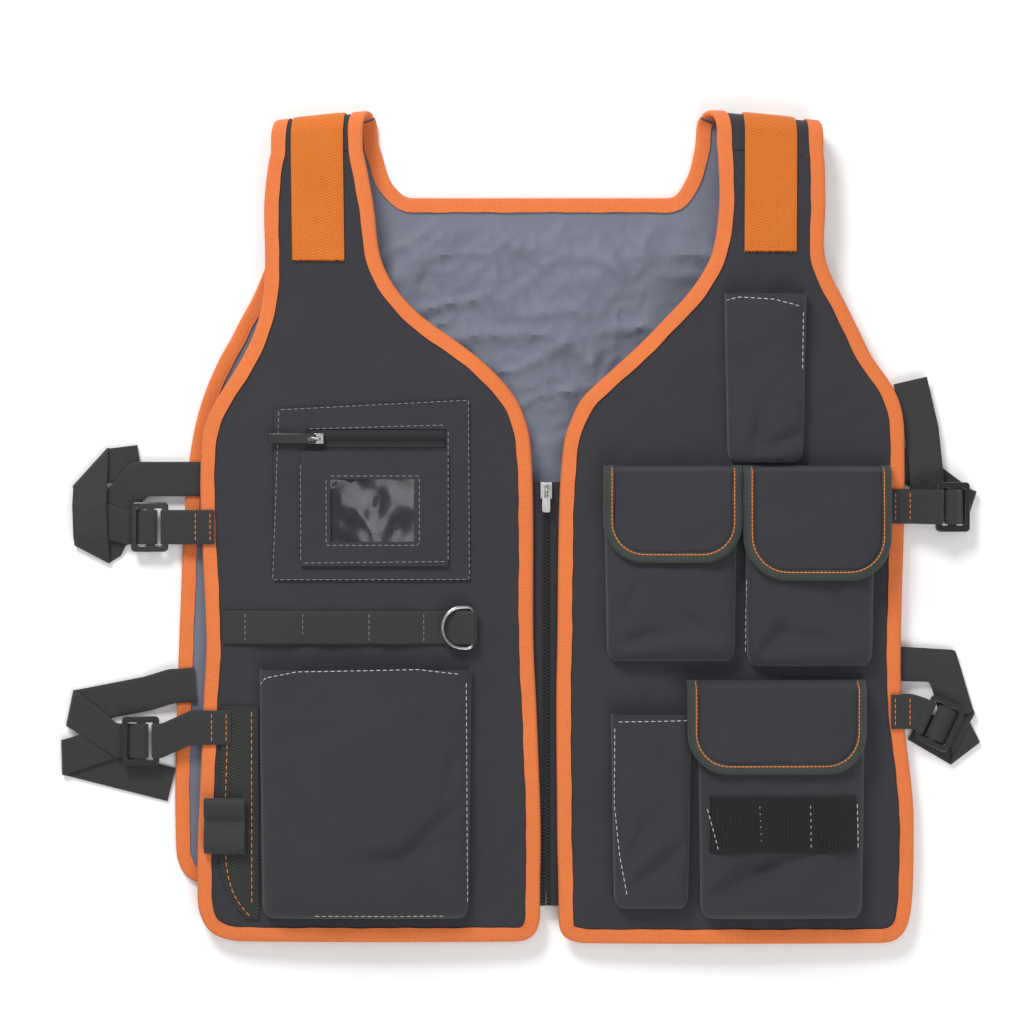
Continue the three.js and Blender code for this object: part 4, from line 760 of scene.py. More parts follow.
@dataclass(frozen=True)
class VinylFinish:
    """Clear soft vinyl with a glossy, slightly rippled face."""

    name: str = "clear_vinyl_sheet"
    tint: str = "#8c8c9c"

    def make(self) -> bpy.types.Material:
        """The material: clear film whose gloss breaks up over shallow ripples.

        Returns:
            The material.
        """
        sheet = NodeSheet(self.name)
        sheet.shader.inputs["Transmission Weight"].default_value = 0.93
        sheet.shader.inputs["IOR"].default_value = 1.5
        cloud = sheet.noise(60.0, 3.0)
        sheet.feed(sheet.shader.inputs["Base Color"], sheet.mix(cloud, linear(self.tint), linear("#777788")))
        sheet.feed(sheet.shader.inputs["Roughness"], sheet.math("MULTIPLY_ADD", cloud, 0.12, 0.12))
        sheet.bump(sheet.noise(45.0, 1.0), 0.0002, 0.4)
        return sheet.material


@dataclass(frozen=True)
class FloorFinish:
    """Plain pale paper under the vest."""

    name: str = "pale_paper"

    def make(self) -> bpy.types.Material:
        """The material: near white with a faint grain.

        Returns:
            The material.
        """
        sheet = NodeSheet(self.name)
        grain = sheet.noise(40.0, 2.0)
        sheet.feed(sheet.shader.inputs["Base Color"], sheet.mix(grain, linear("#fbfbfb"), linear("#f6f6f6")))
        sheet.shader.inputs["Roughness"].default_value = 0.9
        sheet.shader.inputs["Specular IOR Level"].default_value = 0.1
        return sheet.material


class Finishes:
    """Every finish of the vest, made once."""

    def __init__(self) -> None:
        """Make the materials."""
        herring = Weave.HERRINGBONE

        def tape(name: str, colour: str, dark: str, *how: float) -> bpy.types.Material:
            """Ribbed tape or thread: pitch, relief, contrast, roughness, sheen and mottle."""
            return ClothFinish(name, colour, dark, Weave.RIBBED, *how).make()

        # Coated charcoal pack cloth of the fronts and pockets
        self.cloth = ClothFinish(
            "charcoal_pack_cloth", "#35343a", "#252429", relief=0.00010, contrast=0.45
        ).make()
        # Grey-blue proofed side of the same cloth, seen inside
        self.lining = ClothFinish(
            "grey_proofed_lining", "#6d7180", "#585c69", relief=0.00006, contrast=0.3, roughness=0.55,
            mottle=0.2,
        ).make()
        # Orange grosgrain that binds the edges
        self.binding = tape("orange_grosgrain", "#e67c42", "#bd5c2a", 0.0013, 0.00028, 0.55, 0.75, 0.1, 0.15)
        # Brighter orange webbing of the shoulders, woven in a zigzag
        self.band = ClothFinish(
            "orange_shoulder_webbing", "#da741c", "#a44e0e", herring, 0.0022, 0.00035, 0.6, 0.7, 0.15, 0.15,
            0.0031, 0.8,
        ).make()
        # Black polypropylene webbing with crosswise ribs
        self.webbing = tape("black_ribbed_webbing", "#313233", "#171718", 0.0015, 0.00032, 0.6, 0.6, 0.2, 0.2)
        # Dark green-grey ribbed tape that edges the flaps
        self.trim = tape("dark_green_trim", "#3c453f", "#1c211c", 0.0014, 0.0003, 0.7, 0.7, 0.15, 0.2)
        # Heavy dark webbing woven in a herringbone, on the side patch
        self.patch = ClothFinish(
            "dark_herringbone", "#3d413d", "#080a08", herring, 0.0024, 0.0004, 1.0, 0.7, 0.1, 0.2, 0.0042, 1.0
        ).make()
        # Black woven tape of the zips
        self.tape = tape("black_zip_tape", "#2b2b2f", "#18181a", 0.0009, 0.0001, 0.4, 0.75, 0.1, 0.15)
        # Elastic with strong crosswise ribs
        self.elastic = tape("ribbed_elastic", "#0e0e10", "#040405", 0.0026, 0.0006, 0.8, 0.65, 0.15, 0.15)
        # Sewing threads
        self.pale_thread = tape("pale_grey_thread", "#d2cfca", "#a8a5a2", 0.0004, 0.00005, 0.3, 0.7, 0.1, 0.1)
        self.grey_thread = tape("grey_thread", "#8f8c8e", "#6c696c", 0.0004, 0.00005, 0.3, 0.7, 0.1, 0.1)
        self.orange_thread = tape("orange_thread", "#f0853c", "#c9612a", 0.0004, 0.00005, 0.3, 0.65, 0.1, 0.1)
        # Glossy moulded nylon of the buckles, plated and coiled metal of rings and zips
        self.plastic = HardFinish("glossy_black_nylon", "#1b1c1e", 0.24, coat=0.4).make()
        self.nickel = HardFinish("brushed_nickel", "#a9a9a6", 0.3, 1.0, marks=0.08).make()
        self.teeth = HardFinish("zip_coil_teeth", "#3a3b3f", 0.3, coat=0.3).make()
        self.vinyl = VinylFinish().make()
        self.paper = FloorFinish().make()


FINISH = Finishes()


def finish_mesh(name: str, mesh: bpy.types.Mesh, material: bpy.types.Material, slot: Slot, body: str,
                replaces: Sequence[str]) -> bpy.types.Object:
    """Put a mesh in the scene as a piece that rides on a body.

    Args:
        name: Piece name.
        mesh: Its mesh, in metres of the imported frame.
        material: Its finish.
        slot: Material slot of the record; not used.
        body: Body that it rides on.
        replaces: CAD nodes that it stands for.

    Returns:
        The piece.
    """
    mesh.materials.clear()
    mesh.materials.append(material)
    mesh.polygons.foreach_set("use_smooth", np.ones(len(mesh.polygons), bool))
    mesh.set_sharp_from_angle(angle=math.radians(50))
    piece = bpy.data.objects.new(name, mesh)
    bpy.context.scene.collection.objects.link(piece)
    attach(piece, body)
    if replaces:
        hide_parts(*replaces)
    log.info("piece %s: %d faces", name, len(mesh.polygons))
    return piece


def make_piece(name: str, solid: Solid, material: bpy.types.Material, slot: Slot, body: str = "vest",
               replaces: Sequence[str] = ()) -> bpy.types.Object:
    """Turn a solid into a piece whose faces point outwards.

    Formula: the signed volume under the faces tells whether they all have to be turned.

    Args:
        name: Piece name.
        solid: Its points, faces and lie, in drawing millimetres.
        material: Its finish.
        slot: Material slot of the record.
        body: Body that it rides on.
        replaces: CAD nodes that it stands for.

    Returns:
        The piece.
    """
    points = DRAWING.world(solid.points)
    a, b, c, d = (points[solid.quads[:, k]] for k in range(4))
    volume = np.einsum("ij,ij->", a, np.cross(b, c)) + np.einsum("ij,ij->", a, np.cross(c, d))
    faces = solid.quads.tolist() + solid.caps
    if volume < 0:
        faces = [face[::-1] for face in faces]
    mesh = bpy.data.meshes.new(name)
    mesh.from_pydata(points.tolist(), [], faces)
    layer = mesh.uv_layers.new(name="lie")
    corners = np.empty(len(mesh.loops), np.int64)
    mesh.loops.foreach_get("vertex_index", corners)
    layer.data.foreach_set("uv", solid.uv[corners].astype(np.float32).ravel())
    mesh.update()
    return finish_mesh(name, mesh, material, slot, body, replaces)


def rounded_fitting(node: str, name: str, material: bpy.types.Material, slot: Slot, body: str, radius: float,
                    levels: int = 0) -> bpy.types.Object:
    """A hard CAD piece with its edges rounded and its facets made one surface.

    Args:
        node: CAD node that the piece stands for.
        name: Piece name.
        material: Its finish.
        slot: Material slot of the record.
        body: Body that it rides on.
        radius: Radius of its edges in metres; none when it is 0.
        levels: Levels of subdivision.

    Returns:
        The piece.
    """
    mesh = (
        frame["nodes"][node].data.copy() if hasattr(frame["nodes"], "keys")
        else bpy.data.objects[node].data.copy()
    )
    mesh.name = name
    work = bmesh.new()
    work.from_mesh(mesh)
    bmesh.ops.remove_doubles(work, verts=work.verts, dist=1e-6)
    if not levels:
        bmesh.ops.dissolve_limit(work, angle_limit=math.radians(4), verts=work.verts, edges=work.edges)
    work.to_mesh(mesh)
    work.free()
    piece = finish_mesh(name, mesh, material, slot, body, (node,))
    if radius:
        bevel = piece.modifiers.new("edges", "BEVEL")
        bevel.width, bevel.segments = radius, 3
        bevel.limit_method, bevel.angle_limit = "ANGLE", math.radians(35)
    if levels:
        round_off = piece.modifiers.new("round", "SUBSURF")
        round_off.levels = round_off.render_levels = levels
    return piece


# Stitches


@dataclass(frozen=True)
class StitchKind:
    """How a seam is sewn: length of a stitch and the gap after it, thread thickness and how far it stands."""

    length: float = 3.2
    gap: float = 1.5
    thick: float = 0.62
    stand: float = 0.25


def stitches(
    surface: Surface, path: Sequence[tuple[float, float]] | Grid, kind: StitchKind, lift: float
) -> Solid:
    """A row of thread stitches that dips into the cloth at both ends.

    Formula: each stitch is a tube of six sides and five rings along a chord of the path; its
    thickness follows a rounded taper and its middle is raised by half a sine wave.

    Args:
        surface: Gives points for places across, along and above the cloth.
        path: Corners of the seam in the surface's own coordinates.
        kind: Size of the stitches.
        lift: Height of the cloth's face above the surface's middle.

    Returns:
        All stitches as one mesh.
    """
    line = np.asarray(path, float)
    fine = resample(line, 0.5)
    base = surface(fine[:, 0], fine[:, 1], np.full(len(fine), lift))
    above = surface(fine[:, 0], fine[:, 1], np.full(len(fine), lift + 1.0)) - base
    run = arc_lengths(base)
    period = kind.length + kind.gap
    count = max(1, int(run[-1] // period))
    starts = (run[-1] - count * period + kind.gap) / 2 + np.arange(count) * period
    spot = lambda at: np.stack([np.interp(at, run, base[:, k]) for k in range(3)], -1)
    a, b = spot(starts), spot(starts + kind.length)
    up = np.stack([np.interp(starts, run, above[:, k]) for k in range(3)], -1)
    along = b - a
    side = np.cross(up, along)
    side /= np.maximum(np.linalg.norm(side, axis=-1, keepdims=True), 1e-9)
    up /= np.maximum(np.linalg.norm(up, axis=-1, keepdims=True), 1e-9)
    t = np.linspace(0, 1, 5)
    size = np.array([0.45, 0.9, 1.0, 0.9, 0.45]) * kind.thick / 2
    rise = kind.stand * np.sin(math.pi * t) - 0.12
    turn = np.arange(6) * math.tau / 6
    local = np.stack(
        [
            np.repeat(t, 6), np.outer(size, np.cos(turn)).ravel(),
            (np.outer(size, np.sin(turn)) + rise[:, None]).ravel(),
        ],
        -1,
    )
    tube = sweep(local.reshape(5, 6, 3), np.zeros((5, 6, 2)))
    return stamp(local, tube.quads, tube.caps, a, np.stack([along, side, up], 1))


def sewn(*rows: Solid) -> Solid:
    """Several rows of stitches as one mesh."""
    total = rows[0]
    for row in rows[1:]:
        total = total.joined(row)
    return total


# Sewn parts of the garment


def garment(x: ArrayLike, s: ArrayLike, h: ArrayLike) -> Grid:
    """A place on the garment, with the fronts' small unevenness beyond the shoulder seam."""
    x, s, h = np.broadcast_arrays(*(np.asarray(v, float) for v in (x, s, h)))
    y = 2 * FOLD_CENTRE + FOLD_LENGTH - s
    return DRAWING.place(x, s, h + np.where(s > SEAM_S - 2, DRAWING.wave(x, y), 0.0))


def left_of(path: Grid) -> Grid:
    """Unit vectors to the left of a path, square to the line through each point's neighbours."""
    run = np.gradient(path, axis=0)
    run /= np.maximum(np.linalg.norm(run, axis=-1, keepdims=True), 1e-9)
    return np.stack([-run[:, 1], run[:, 0]], -1)


def inset(path: Grid, distance: float) -> Grid:
    """The path moved to its left."""
    return path + left_of(path) * distance


@dataclass(frozen=True)
class EdgeTape:
    """Tape folded round a cloth edge: width, wall, half of the cloth and the gap to it."""

    width: float = BIND_WIDTH
    half: float = HALF
    wall: float = BIND_WALL
    clear: float = CLEAR

    def wrap(self, surface: Surface, path: Grid) -> Solid:
        """The folded tape along a path that has the cloth to its left.

        Formula: a flat letter C with a round back is carried along the path; its width and
        thickness vary a little with slow waves of the way run.

        Args:
            surface: The surface it wraps.
            path: Flat places along the edge.

        Returns:
            The tape.
        """
        inner = self.half + self.clear
        outer = inner + self.wall
        turn = np.linspace(math.pi / 2, -math.pi / 2, 7)
        across = np.linspace(self.width, outer, 4)
        section = np.array([
            *[(d, outer) for d in across[:-1]],
            *[(outer * (1 - math.cos(a)), outer * math.sin(a)) for a in turn],
            *[(d, -outer) for d in across[::-1][1:]],
            (self.width, -inner), (self.wall * 1.6, -inner), (self.wall * 1.6, inner), (self.width, inner),
        ])
        run = arc_lengths(path)
        loose = 0.3 * np.sin(run / 9.0) + 0.25 * np.sin(run / 3.7 + 1.3)
        reach = (
            section[None, :, 0] + np.where(section[:, 0] > self.width * 0.6, 1.0, 0.0) * loose[:, None] * 0.6
        )
        d = reach - self.clear - self.wall
        normals = left_of(path)
        swell = 1 + 0.04 * np.sin(run / 5.3)[:, None]
        points = surface(
            path[:, None, 0] + normals[:, None, 0] * d, path[:, None, 1] + normals[:, None, 1] * d,
            section[None, :, 1] * swell,
        )
        girth = arc_lengths(section)
        uv = np.stack(np.broadcast_arrays(girth[None, :] * MM, run[:, None] * MM), -1)
        return sweep(points, uv)


@dataclass
class SubAssembly:
    """A group of pieces that are sewn or fitted together."""

    pieces: list[bpy.types.Object] = field(default_factory=list, init=False)

    def keep(self, piece: bpy.types.Object) -> bpy.types.Object:
        """Remember a piece of the group."""
        self.pieces.append(piece)
        return piece

    def add(self, name: str, solid: Solid, material: bpy.types.Material, slot: Slot, *nodes: str) -> None:
        """Make and keep a piece that lies still on the vest and stands for the CAD nodes named."""
        self.keep(make_piece(name, solid, material, slot, replaces=nodes))

    def build(self) -> None:
        """Make the group's meshes."""

    def dress(self) -> None:
        """Add the group's stitches and small trims."""


@dataclass
class BackPanel(SubAssembly):
    """The back with its straps over the shoulders, its lining and its binding."""

    strap_columns: int = 22
    middle_columns: int = 64
    step: float = 3.0

    def grid(self) -> tuple[Grid, NDArray[np.bool_], int]:
        """Places of the back's cloth, which cells are kept, and the row of the neck edge.

        Returns:
            Places, kept cells and row.
        """
        ups = fill(BACK_EDGES[:, 0].tolist(), self.step / VEST_LENGTH)
        edges = np.stack([read(BACK_EDGES, k, ups) for k in (1, 2, 3, 4)], -1)
        turns = np.linspace(0, 1, 17)
        fold = edges[-1] + (FOLD_EDGES - edges[-1]) * smooth(turns)[:, None]
        rest = np.linspace(FOLD_CENTRE + FOLD_LENGTH, SEAM_S - CLEAR, 7)[1:]
        s = np.concatenate([up_to_y(ups), FOLD_CENTRE + FOLD_LENGTH * turns, rest])
        edges = np.concatenate([edges, fold, np.tile(FOLD_EDGES, (len(rest), 1))])
        neck = int(np.argmin(np.abs(ups - NECK_UP)))
        open_by = np.where(np.arange(len(s)) > neck, EDGE_BUILD, 0.0)
        s[0] += EDGE_BUILD
        s[neck] -= EDGE_BUILD
        marks = [
            ZIP_X - edges[:, 0] * FRONT_WIDTH + EDGE_BUILD, ZIP_X - edges[:, 1] * FRONT_WIDTH - open_by,
            ZIP_X + edges[:, 2] * FRONT_WIDTH + open_by, ZIP_X + edges[:, 3] * FRONT_WIDTH - EDGE_BUILD,
        ]
        counts = [self.strap_columns, self.middle_columns, self.strap_columns]
        parts = [
            np.linspace(a, b, n, endpoint=False, axis=-1) for a, b, n in zip(marks[:-1], marks[1:], counts)
        ]
        x = np.concatenate([*parts, marks[-1][:, None]], axis=1)
        places = np.stack([x, np.repeat(s[:, None], x.shape[1], 1)], -1)
        keep = np.ones((len(s) - 1, x.shape[1] - 1), bool)
        keep[neck:, self.strap_columns:self.strap_columns + self.middle_columns] = False
        return places, keep, neck

    def build(self) -> None:
        """Outer cloth, lining and bindings."""
        places, keep, neck = self.grid()
        x, s, uv = places[..., 0], places[..., 1], places * MM
        layer = lambda h: garment(x, s, h)
        cloth = make_piece(
            "back_cloth", shell(layer(HALF), layer(0.03), uv, keep), FINISH.cloth, Slot.CLOTH,
            replaces=("back_panel",),
        )
        lining = make_piece(
            "back_lining", shell(layer(-0.03), layer(-HALF), uv, keep), FINISH.lining, Slot.LINING,
            replaces=("back_panel",),
        )
        for piece in (cloth, lining):
            self.keep(piece)
        tape = EdgeTape()
        first, last = self.strap_columns, self.strap_columns + self.middle_columns
        below = places[:, 0, 1] < TAPE_JOIN
        hem = soften(np.concatenate([places[below][::-1, 0], places[0, 1:-1], places[below][:, -1]]), 2)
        self.hem = hem
        self.add(
            "back_edge_tape", tape.wrap(garment, hem), FINISH.binding, Slot.BINDING, "back_binding_hem",
            "back_binding_left", "back_binding_right",
        )
        strap = places[neck + 1:][below[neck + 1:]]
        self.neck = soften(
            np.concatenate([strap[::-1, last], places[neck, first:last + 1][::-1], strap[:, first]]), 3
        )
        neck_tape = EdgeTape(clear=0.6)
        self.add(
            "neck_edge_tape", neck_tape.wrap(garment, self.neck), FINISH.binding, Slot.BINDING, "neck_binding"
        )

    def dress(self) -> None:
        """Seam of orange thread near the inner edge of the tapes, on the side that shows."""
        kind = StitchKind(2.6, 1.2, 0.5, 0.15)
        rows = sewn(*[stitches(garment, inset(path, 6.8), kind, side * (BIND_OUTER + 0.05))
                      for path in (self.hem, self.neck) for side in (-1, 1)])
        self.add("back_tape_seam", rows, FINISH.orange_thread, Slot.BINDING)


TAPE_JOIN = FOLD_CENTRE + 0.3 * FOLD_LENGTH


def over_shoulder(side: Side, column: int) -> Grid:
    """Places of a strap's edge from the seam back to where the tapes meet, behind the top of the fold.

    Args:
        side: Side of the vest.
        column: Column of the back's edge table: arm edge or neck edge.

    Returns:
        Places across and along the way over the shoulder.
    """
    s = np.linspace(SEAM_S, TAPE_JOIN + 1.2, 16)
    t = smooth(np.clip((s - FOLD_CENTRE) / FOLD_LENGTH, 0, 1))
    edge = BACK_EDGES[-1, column] + (FOLD_EDGES[column - 1] - BACK_EDGES[-1, column]) * t
    inward = EDGE_BUILD if column in (1, 4) else -EDGE_BUILD
    return np.stack([ZIP_X + side.value * (edge * FRONT_WIDTH - inward), s], -1)


@dataclass
class FrontPanel(SubAssembly):
    """One front of the vest with its lining side and binding."""

    side: Side
    edges: Grid
    columns: int = 96
    step: float = 2.8

    def build(self) -> None:
        """Cloth, lining and binding of the front."""
        flip, word = self.side.value, self.side.word
        top = float(self.edges[-1, 0])
        hem = fill(self.edges[:4, 0].tolist(), 2.2 / VEST_LENGTH, 4)
        ups = np.concatenate([hem[:-1], fill(self.edges[3:, 0].tolist(), self.step / VEST_LENGTH)])
        y = up_to_y(ups)
        y[0] += EDGE_BUILD
        y[-1] = SEAM_Y - CLEAR
        a = ZIP_X + flip * (read(self.edges, 1, ups) * FRONT_WIDTH + EDGE_BUILD)
        b = ZIP_X + flip * (read(self.edges, 2, ups) * FRONT_WIDTH - EDGE_BUILD)
        x = np.linspace(a, b, self.columns + 1, axis=-1)
        s = np.repeat(DRAWING.front_s(y)[:, None], x.shape[1], 1)
        places = np.stack([x, s], -1)
        layer = lambda h: garment(x, s, h)
        node = f"front_panel_{word}"
        cloth = make_piece(
            f"front_cloth_{word}", shell(layer(HALF), layer(0.03), places * MM), FINISH.cloth, Slot.CLOTH,
            replaces=(node,),
        )
        lining = make_piece(
            f"front_lining_{word}", shell(layer(-0.03), layer(-HALF), places * MM), FINISH.lining, Slot.LINING,
            replaces=(node,),
        )
        for piece in (cloth, lining):
            self.keep(piece)
        neck, arm = (2, 1) if flip < 0 else (3, 4)
        path = np.concatenate([
            over_shoulder(self.side, neck)[::-1], places[::-1, 0], places[0, 1:-1], places[:, -1],
            over_shoulder(self.side, arm),
        ])
        self.path = soften(path if flip < 0 else path[::-1], 4)
        self.add(
            f"front_edge_tape_{word}", EdgeTape().wrap(garment, self.path), FINISH.binding, Slot.BINDING,
            f"front_binding_{word}",
        )
        log.info("front %s ends at %.3f of the length", word, top)

    def dress(self) -> None:
        """Seam of orange thread near the inner edge of the tape."""
        kind = StitchKind(2.6, 1.2, 0.5, 0.15)
        rows = sewn(
            *[stitches(garment, inset(self.path, 6.8), kind, side * (BIND_OUTER + 0.05)) for side in (-1, 1)]
        )
        self.add(f"front_tape_seam_{self.side.word}", rows, FINISH.orange_thread, Slot.BINDING)


@dataclass
class ShoulderBand(SubAssembly):
    """Orange webbing over one shoulder, with a raw cut end on the chest."""

    side: Side
    front: float
    ends: float
    top: float
    back: float
    back_length: float = 60.0
    fray_count: int = 110
    fray_thick: float = 0.3
    seam_in: float = 2.2

    def build(self) -> None:
        """The band and its frayed end."""
        flip = self.side.value
        first = np.linspace(FOLD_CENTRE - self.back_length, FOLD_CENTRE, 20, endpoint=False)
        fold = np.linspace(FOLD_CENTRE, FOLD_CENTRE + FOLD_LENGTH, 17)
        last = DRAWING.front_s(np.linspace(SEAM_Y, up_to_y(self.front), 36))
        s = np.concatenate([first, fold, last])
        share = np.concatenate([
            np.full(20, self.back), np.linspace(self.back, self.top, 17), np.linspace(self.top, self.ends, 36),
        ])
        across = np.linspace(-BAND_WIDTH / 2, BAND_WIDTH / 2, 19)
        x = ZIP_X + flip * share[:, None] * FRONT_WIDTH + across[None, :]
        sway = 0.25 * np.sin(across / 5.0)[None, :] + 0.2 * np.sin(s / 17.0)[:, None]
        edge = 0.5 * (1 - (across / (BAND_WIDTH / 2)) ** 8)[None, :]
        low, high = BAND_INNER + 0.0 * x, BAND_OUTER - 0.5 + edge + 0.15 * sway
        grid = np.repeat(s[:, None], len(across), 1)
        uv = np.stack(np.broadcast_arrays(across[None, :] * MM, s[:, None] * MM), -1)
        word = self.side.word
        self.add(
            f"shoulder_webbing_{word}", shell(garment(x, grid, high), garment(x, grid, low), uv), FINISH.band,
            Slot.BAND, f"shoulder_band_{word}",
        )
        rng = np.random.default_rng(5 + flip)
        count = self.fray_count
        spots = x[-1, 0] + rng.uniform(0, BAND_WIDTH, count)
        start = garment(spots, np.full(count, s[-1] - 0.6), rng.uniform(BAND_INNER, BAND_OUTER - 0.3, count))
        end = garment(
            spots + rng.normal(0, 0.5, count), np.full(count, s[-1]) + rng.uniform(0.3, 1.3, count),
            rng.uniform(1.0, 2.2, count),
        )
        self.add(f"shoulder_fray_{word}", threads(start, end, self.fray_thick), FINISH.band, Slot.BAND)

    def dress(self) -> None:
        """Two lines of thread along the band and a line across its end."""
        flip = self.side.value
        kind = StitchKind(2.4, 1.2, 0.5, 0.1)
        low = y_at(self.front) + 5
        middle = lambda y: ZIP_X + flip * FRONT_WIDTH * (
            self.top + (self.ends - self.top) * (SEAM_Y - y) / (SEAM_Y - up_to_y(self.front))
        )
        rows = []
        for offset in (-BAND_WIDTH / 2 + self.seam_in, BAND_WIDTH / 2 - self.seam_in):
            ys = np.linspace(SEAM_Y, low, 12)
            rows.append(stitches(DRAWING.on_front, np.stack([middle(ys) + offset, ys], -1), kind, BAND_OUTER))
        across = [
            (float(middle(low)) - BAND_WIDTH / 2 + 2, low), (float(middle(low)) + BAND_WIDTH / 2 - 2, low)
        ]
        rows.append(stitches(DRAWING.on_front, across, kind, BAND_OUTER))
        self.add(f"shoulder_seam_{self.side.word}", sewn(*rows), FINISH.orange_thread, Slot.BAND)


def threads(start: Grid, end: Grid, thick: float) -> Solid:
    """Short straight thread ends from one set of points to another, four-sided and tapered.

    Args:
        start: Where each begins.
        end: Where each ends.
        thick: Thickness at the start.

    Returns:
        The threads.
    """
    along = end - start
    side = np.cross(along, [0.0, 0.0, 1.0])
    side /= np.maximum(np.linalg.norm(side, axis=-1, keepdims=True), 1e-9)
    up = np.cross(side, along)
    up /= np.maximum(np.linalg.norm(up, axis=-1, keepdims=True), 1e-9)
    t, size, turn = np.array([0.0, 0.5, 1.0]), np.array([1.0, 0.8, 0.4]) * thick, np.arange(4) * math.tau / 4
    local = np.stack(
        [np.repeat(t, 4), np.outer(size, np.cos(turn)).ravel(), np.outer(size, np.sin(turn)).ravel()], -1
    )
    tube = sweep(local.reshape(3, 4, 3), np.zeros((3, 4, 2)))
    return stamp(local, tube.quads, tube.caps, start, np.stack([along, side, up], 1))


ARCH_POWER = 4.0
FLAP_WALL = 1.8
FLAP_GAP = 0.9
FLAP_STAND = FLAP_WALL / 2 + FLAP_GAP + 0.6 + 0.9


def arch(u: ArrayLike) -> Grid:
    """Height of a pocket's face across: a flattened half round of the fourth power."""
    return np.maximum(0.0, 1 - np.abs(u) ** ARCH_POWER) ** (1 / ARCH_POWER)


def arch_spots(count: int) -> Grid:
    """Places across an arch from -1 to 1, close together where it falls steeply."""
    c = np.cos(math.pi * (1 - np.arange(count + 1) / count))
    return np.sign(c) * np.abs(c) ** (2 / ARCH_POWER)


@dataclass
class Pouch(SubAssembly):
    """A sewn pocket that stands off a front: place and size as shares, depths as shares of the loft."""

    name: str
    x: float
    width: float
    foot: float
    mouth: float
    deep: float
    lip: float
    run: float
    creases: tuple[Crease, ...] = ()
    seams: tuple[tuple[tuple[float, float], ...], ...] = ()
    wall: float = 1.6
    corner: float = 11.0
    taper: float = 2.4

    def half(self, y: ArrayLike) -> Grid:
        """Half of the pocket's width at a height: it narrows toward the foot, whose corners are round.

        Args:
            y: Height on the drawing.

        Returns:
            Half the width in millimetres.
        """
        up = np.maximum(0.0, np.asarray(y, float) - up_to_y(self.foot))
        turn = np.clip(1 - up / self.corner, 0, 1)
        length = up_to_y(self.mouth) - up_to_y(self.foot)
        narrow = self.taper * np.clip(1 - up / length, 0, 1) + 0.55 * self.corner * (1 - np.sqrt(1 - turn**2))
        return self.width * FRONT_WIDTH / 2 - narrow

    def depth(self, y: ArrayLike) -> Grid:
        """Depth of the pocket at a height, past its rounded foot."""
        low, high = up_to_y(self.foot), up_to_y(self.mouth)
        t = np.clip((np.asarray(y) - low) / (high - low), 0, 1)
        return LOFT * (self.deep + (self.lip - self.deep) * smooth((t - 0.25) / 0.75))

    def full(self, y: ArrayLike) -> Grid:
        """Share of the depth reached at a height over the rounded foot.

        Args:
            y: Height on the drawing.

        Returns:
            The share, 0 to 1.
        """
        low = up_to_y(self.foot)
        rounding = self.run * (up_to_y(self.mouth) - low)
        turn = np.arccos(np.clip(1 - (np.asarray(y) - low) / rounding, 0, 1))
        return np.sin(turn) ** 0.7

    def soft(self, x: ArrayLike, y: ArrayLike) -> Grid:
        """Folds and slackness of the pocket's face."""
        seed = len(self.name)
        slack = (
            0.8 * ripple(x, y, 46.0, seed) + 0.3 * ripple(x, y, 17.0, seed + 1)
            + 1.1 * crumple(x, y, 88.0, seed + 2)
        )
        return 1.5 * creased(self.creases, x, y) + slack

    def surface(self, x: ArrayLike, y: ArrayLike, h: ArrayLike) -> Grid:
        """A place on the pocket's face.

        Args:
            x: Place across.
            y: Height on the drawing.
            h: Distance outward from the surface.

        Returns:
            The points.
        """
        x, y, h = np.broadcast_arrays(*(np.asarray(v, float) for v in (x, y, h)))
        rise = arch(np.clip((x - out_to_x(self.x)) / self.half(y), -1, 1))
        body = (self.depth(y) + self.soft(x, y) * smooth(rise * 1.4 - 0.4)) * self.full(y) * rise
        return DRAWING.on_front(x, y, HALF + PATCH_GAP + np.maximum(body, 0) + h)

    def build(self) -> None:
        """The pocket's cloth."""
        low, high = y_at(self.foot), y_at(self.mouth)
        rounding = self.run * (high - low)
        turn = np.linspace(0, math.pi / 2, 12)
        y = np.concatenate([low + rounding * (1 - np.cos(turn)), np.linspace(low + rounding, high, 60)[1:]])
        full = np.concatenate([np.sin(turn) ** 0.7, np.ones(59)])
        u = arch_spots(72)
        rise = arch(u)

        def layer(wall: float) -> Grid:
            """The face, drawn in by a wall."""
            inner = y + wall * (1 - (y - low) / (high - low))
            x = out_to_x(self.x) + u[None, :] * (self.half(inner)[:, None] - wall)
            grid = np.repeat(inner[:, None], len(u), 1)
            body = (
                (self.depth(grid) - wall + self.soft(x, grid) * smooth(rise * 1.4 - 0.4)[None]) * full[:, None]
                * rise[None]
            )
            return DRAWING.on_front(x, grid, HALF + PATCH_GAP + np.maximum(body, 0))

        outer = layer(0.0)
        girth = np.linalg.norm(np.diff(outer, axis=1), axis=-1)
        across = np.concatenate([np.zeros((len(y), 1)), np.cumsum(girth, 1)], 1)
        across -= across[:, -1:] / 2
        rows = np.linalg.norm(np.diff(outer[:, len(u) // 2], axis=0), axis=-1)
        along = np.concatenate([[0.0], np.cumsum(rows)])
        uv = np.stack(np.broadcast_arrays(across, along[:, None]), -1)
        piece = make_piece(
            f"{self.name}_cloth", shell(outer, layer(self.wall), uv * MM), FINISH.cloth, Slot.CLOTH,
            replaces=(self.name,),
        )
        self.keep(piece)

    def dress(self) -> None:
        """Stitches of the seams that show."""
        if self.seams:
            rows = sewn(*[stitches(self.surface, seam, StitchKind(), 0.15) for seam in self.seams])
            self.add(f"{self.name}_seams", rows, FINISH.pale_thread, Slot.CLOTH)


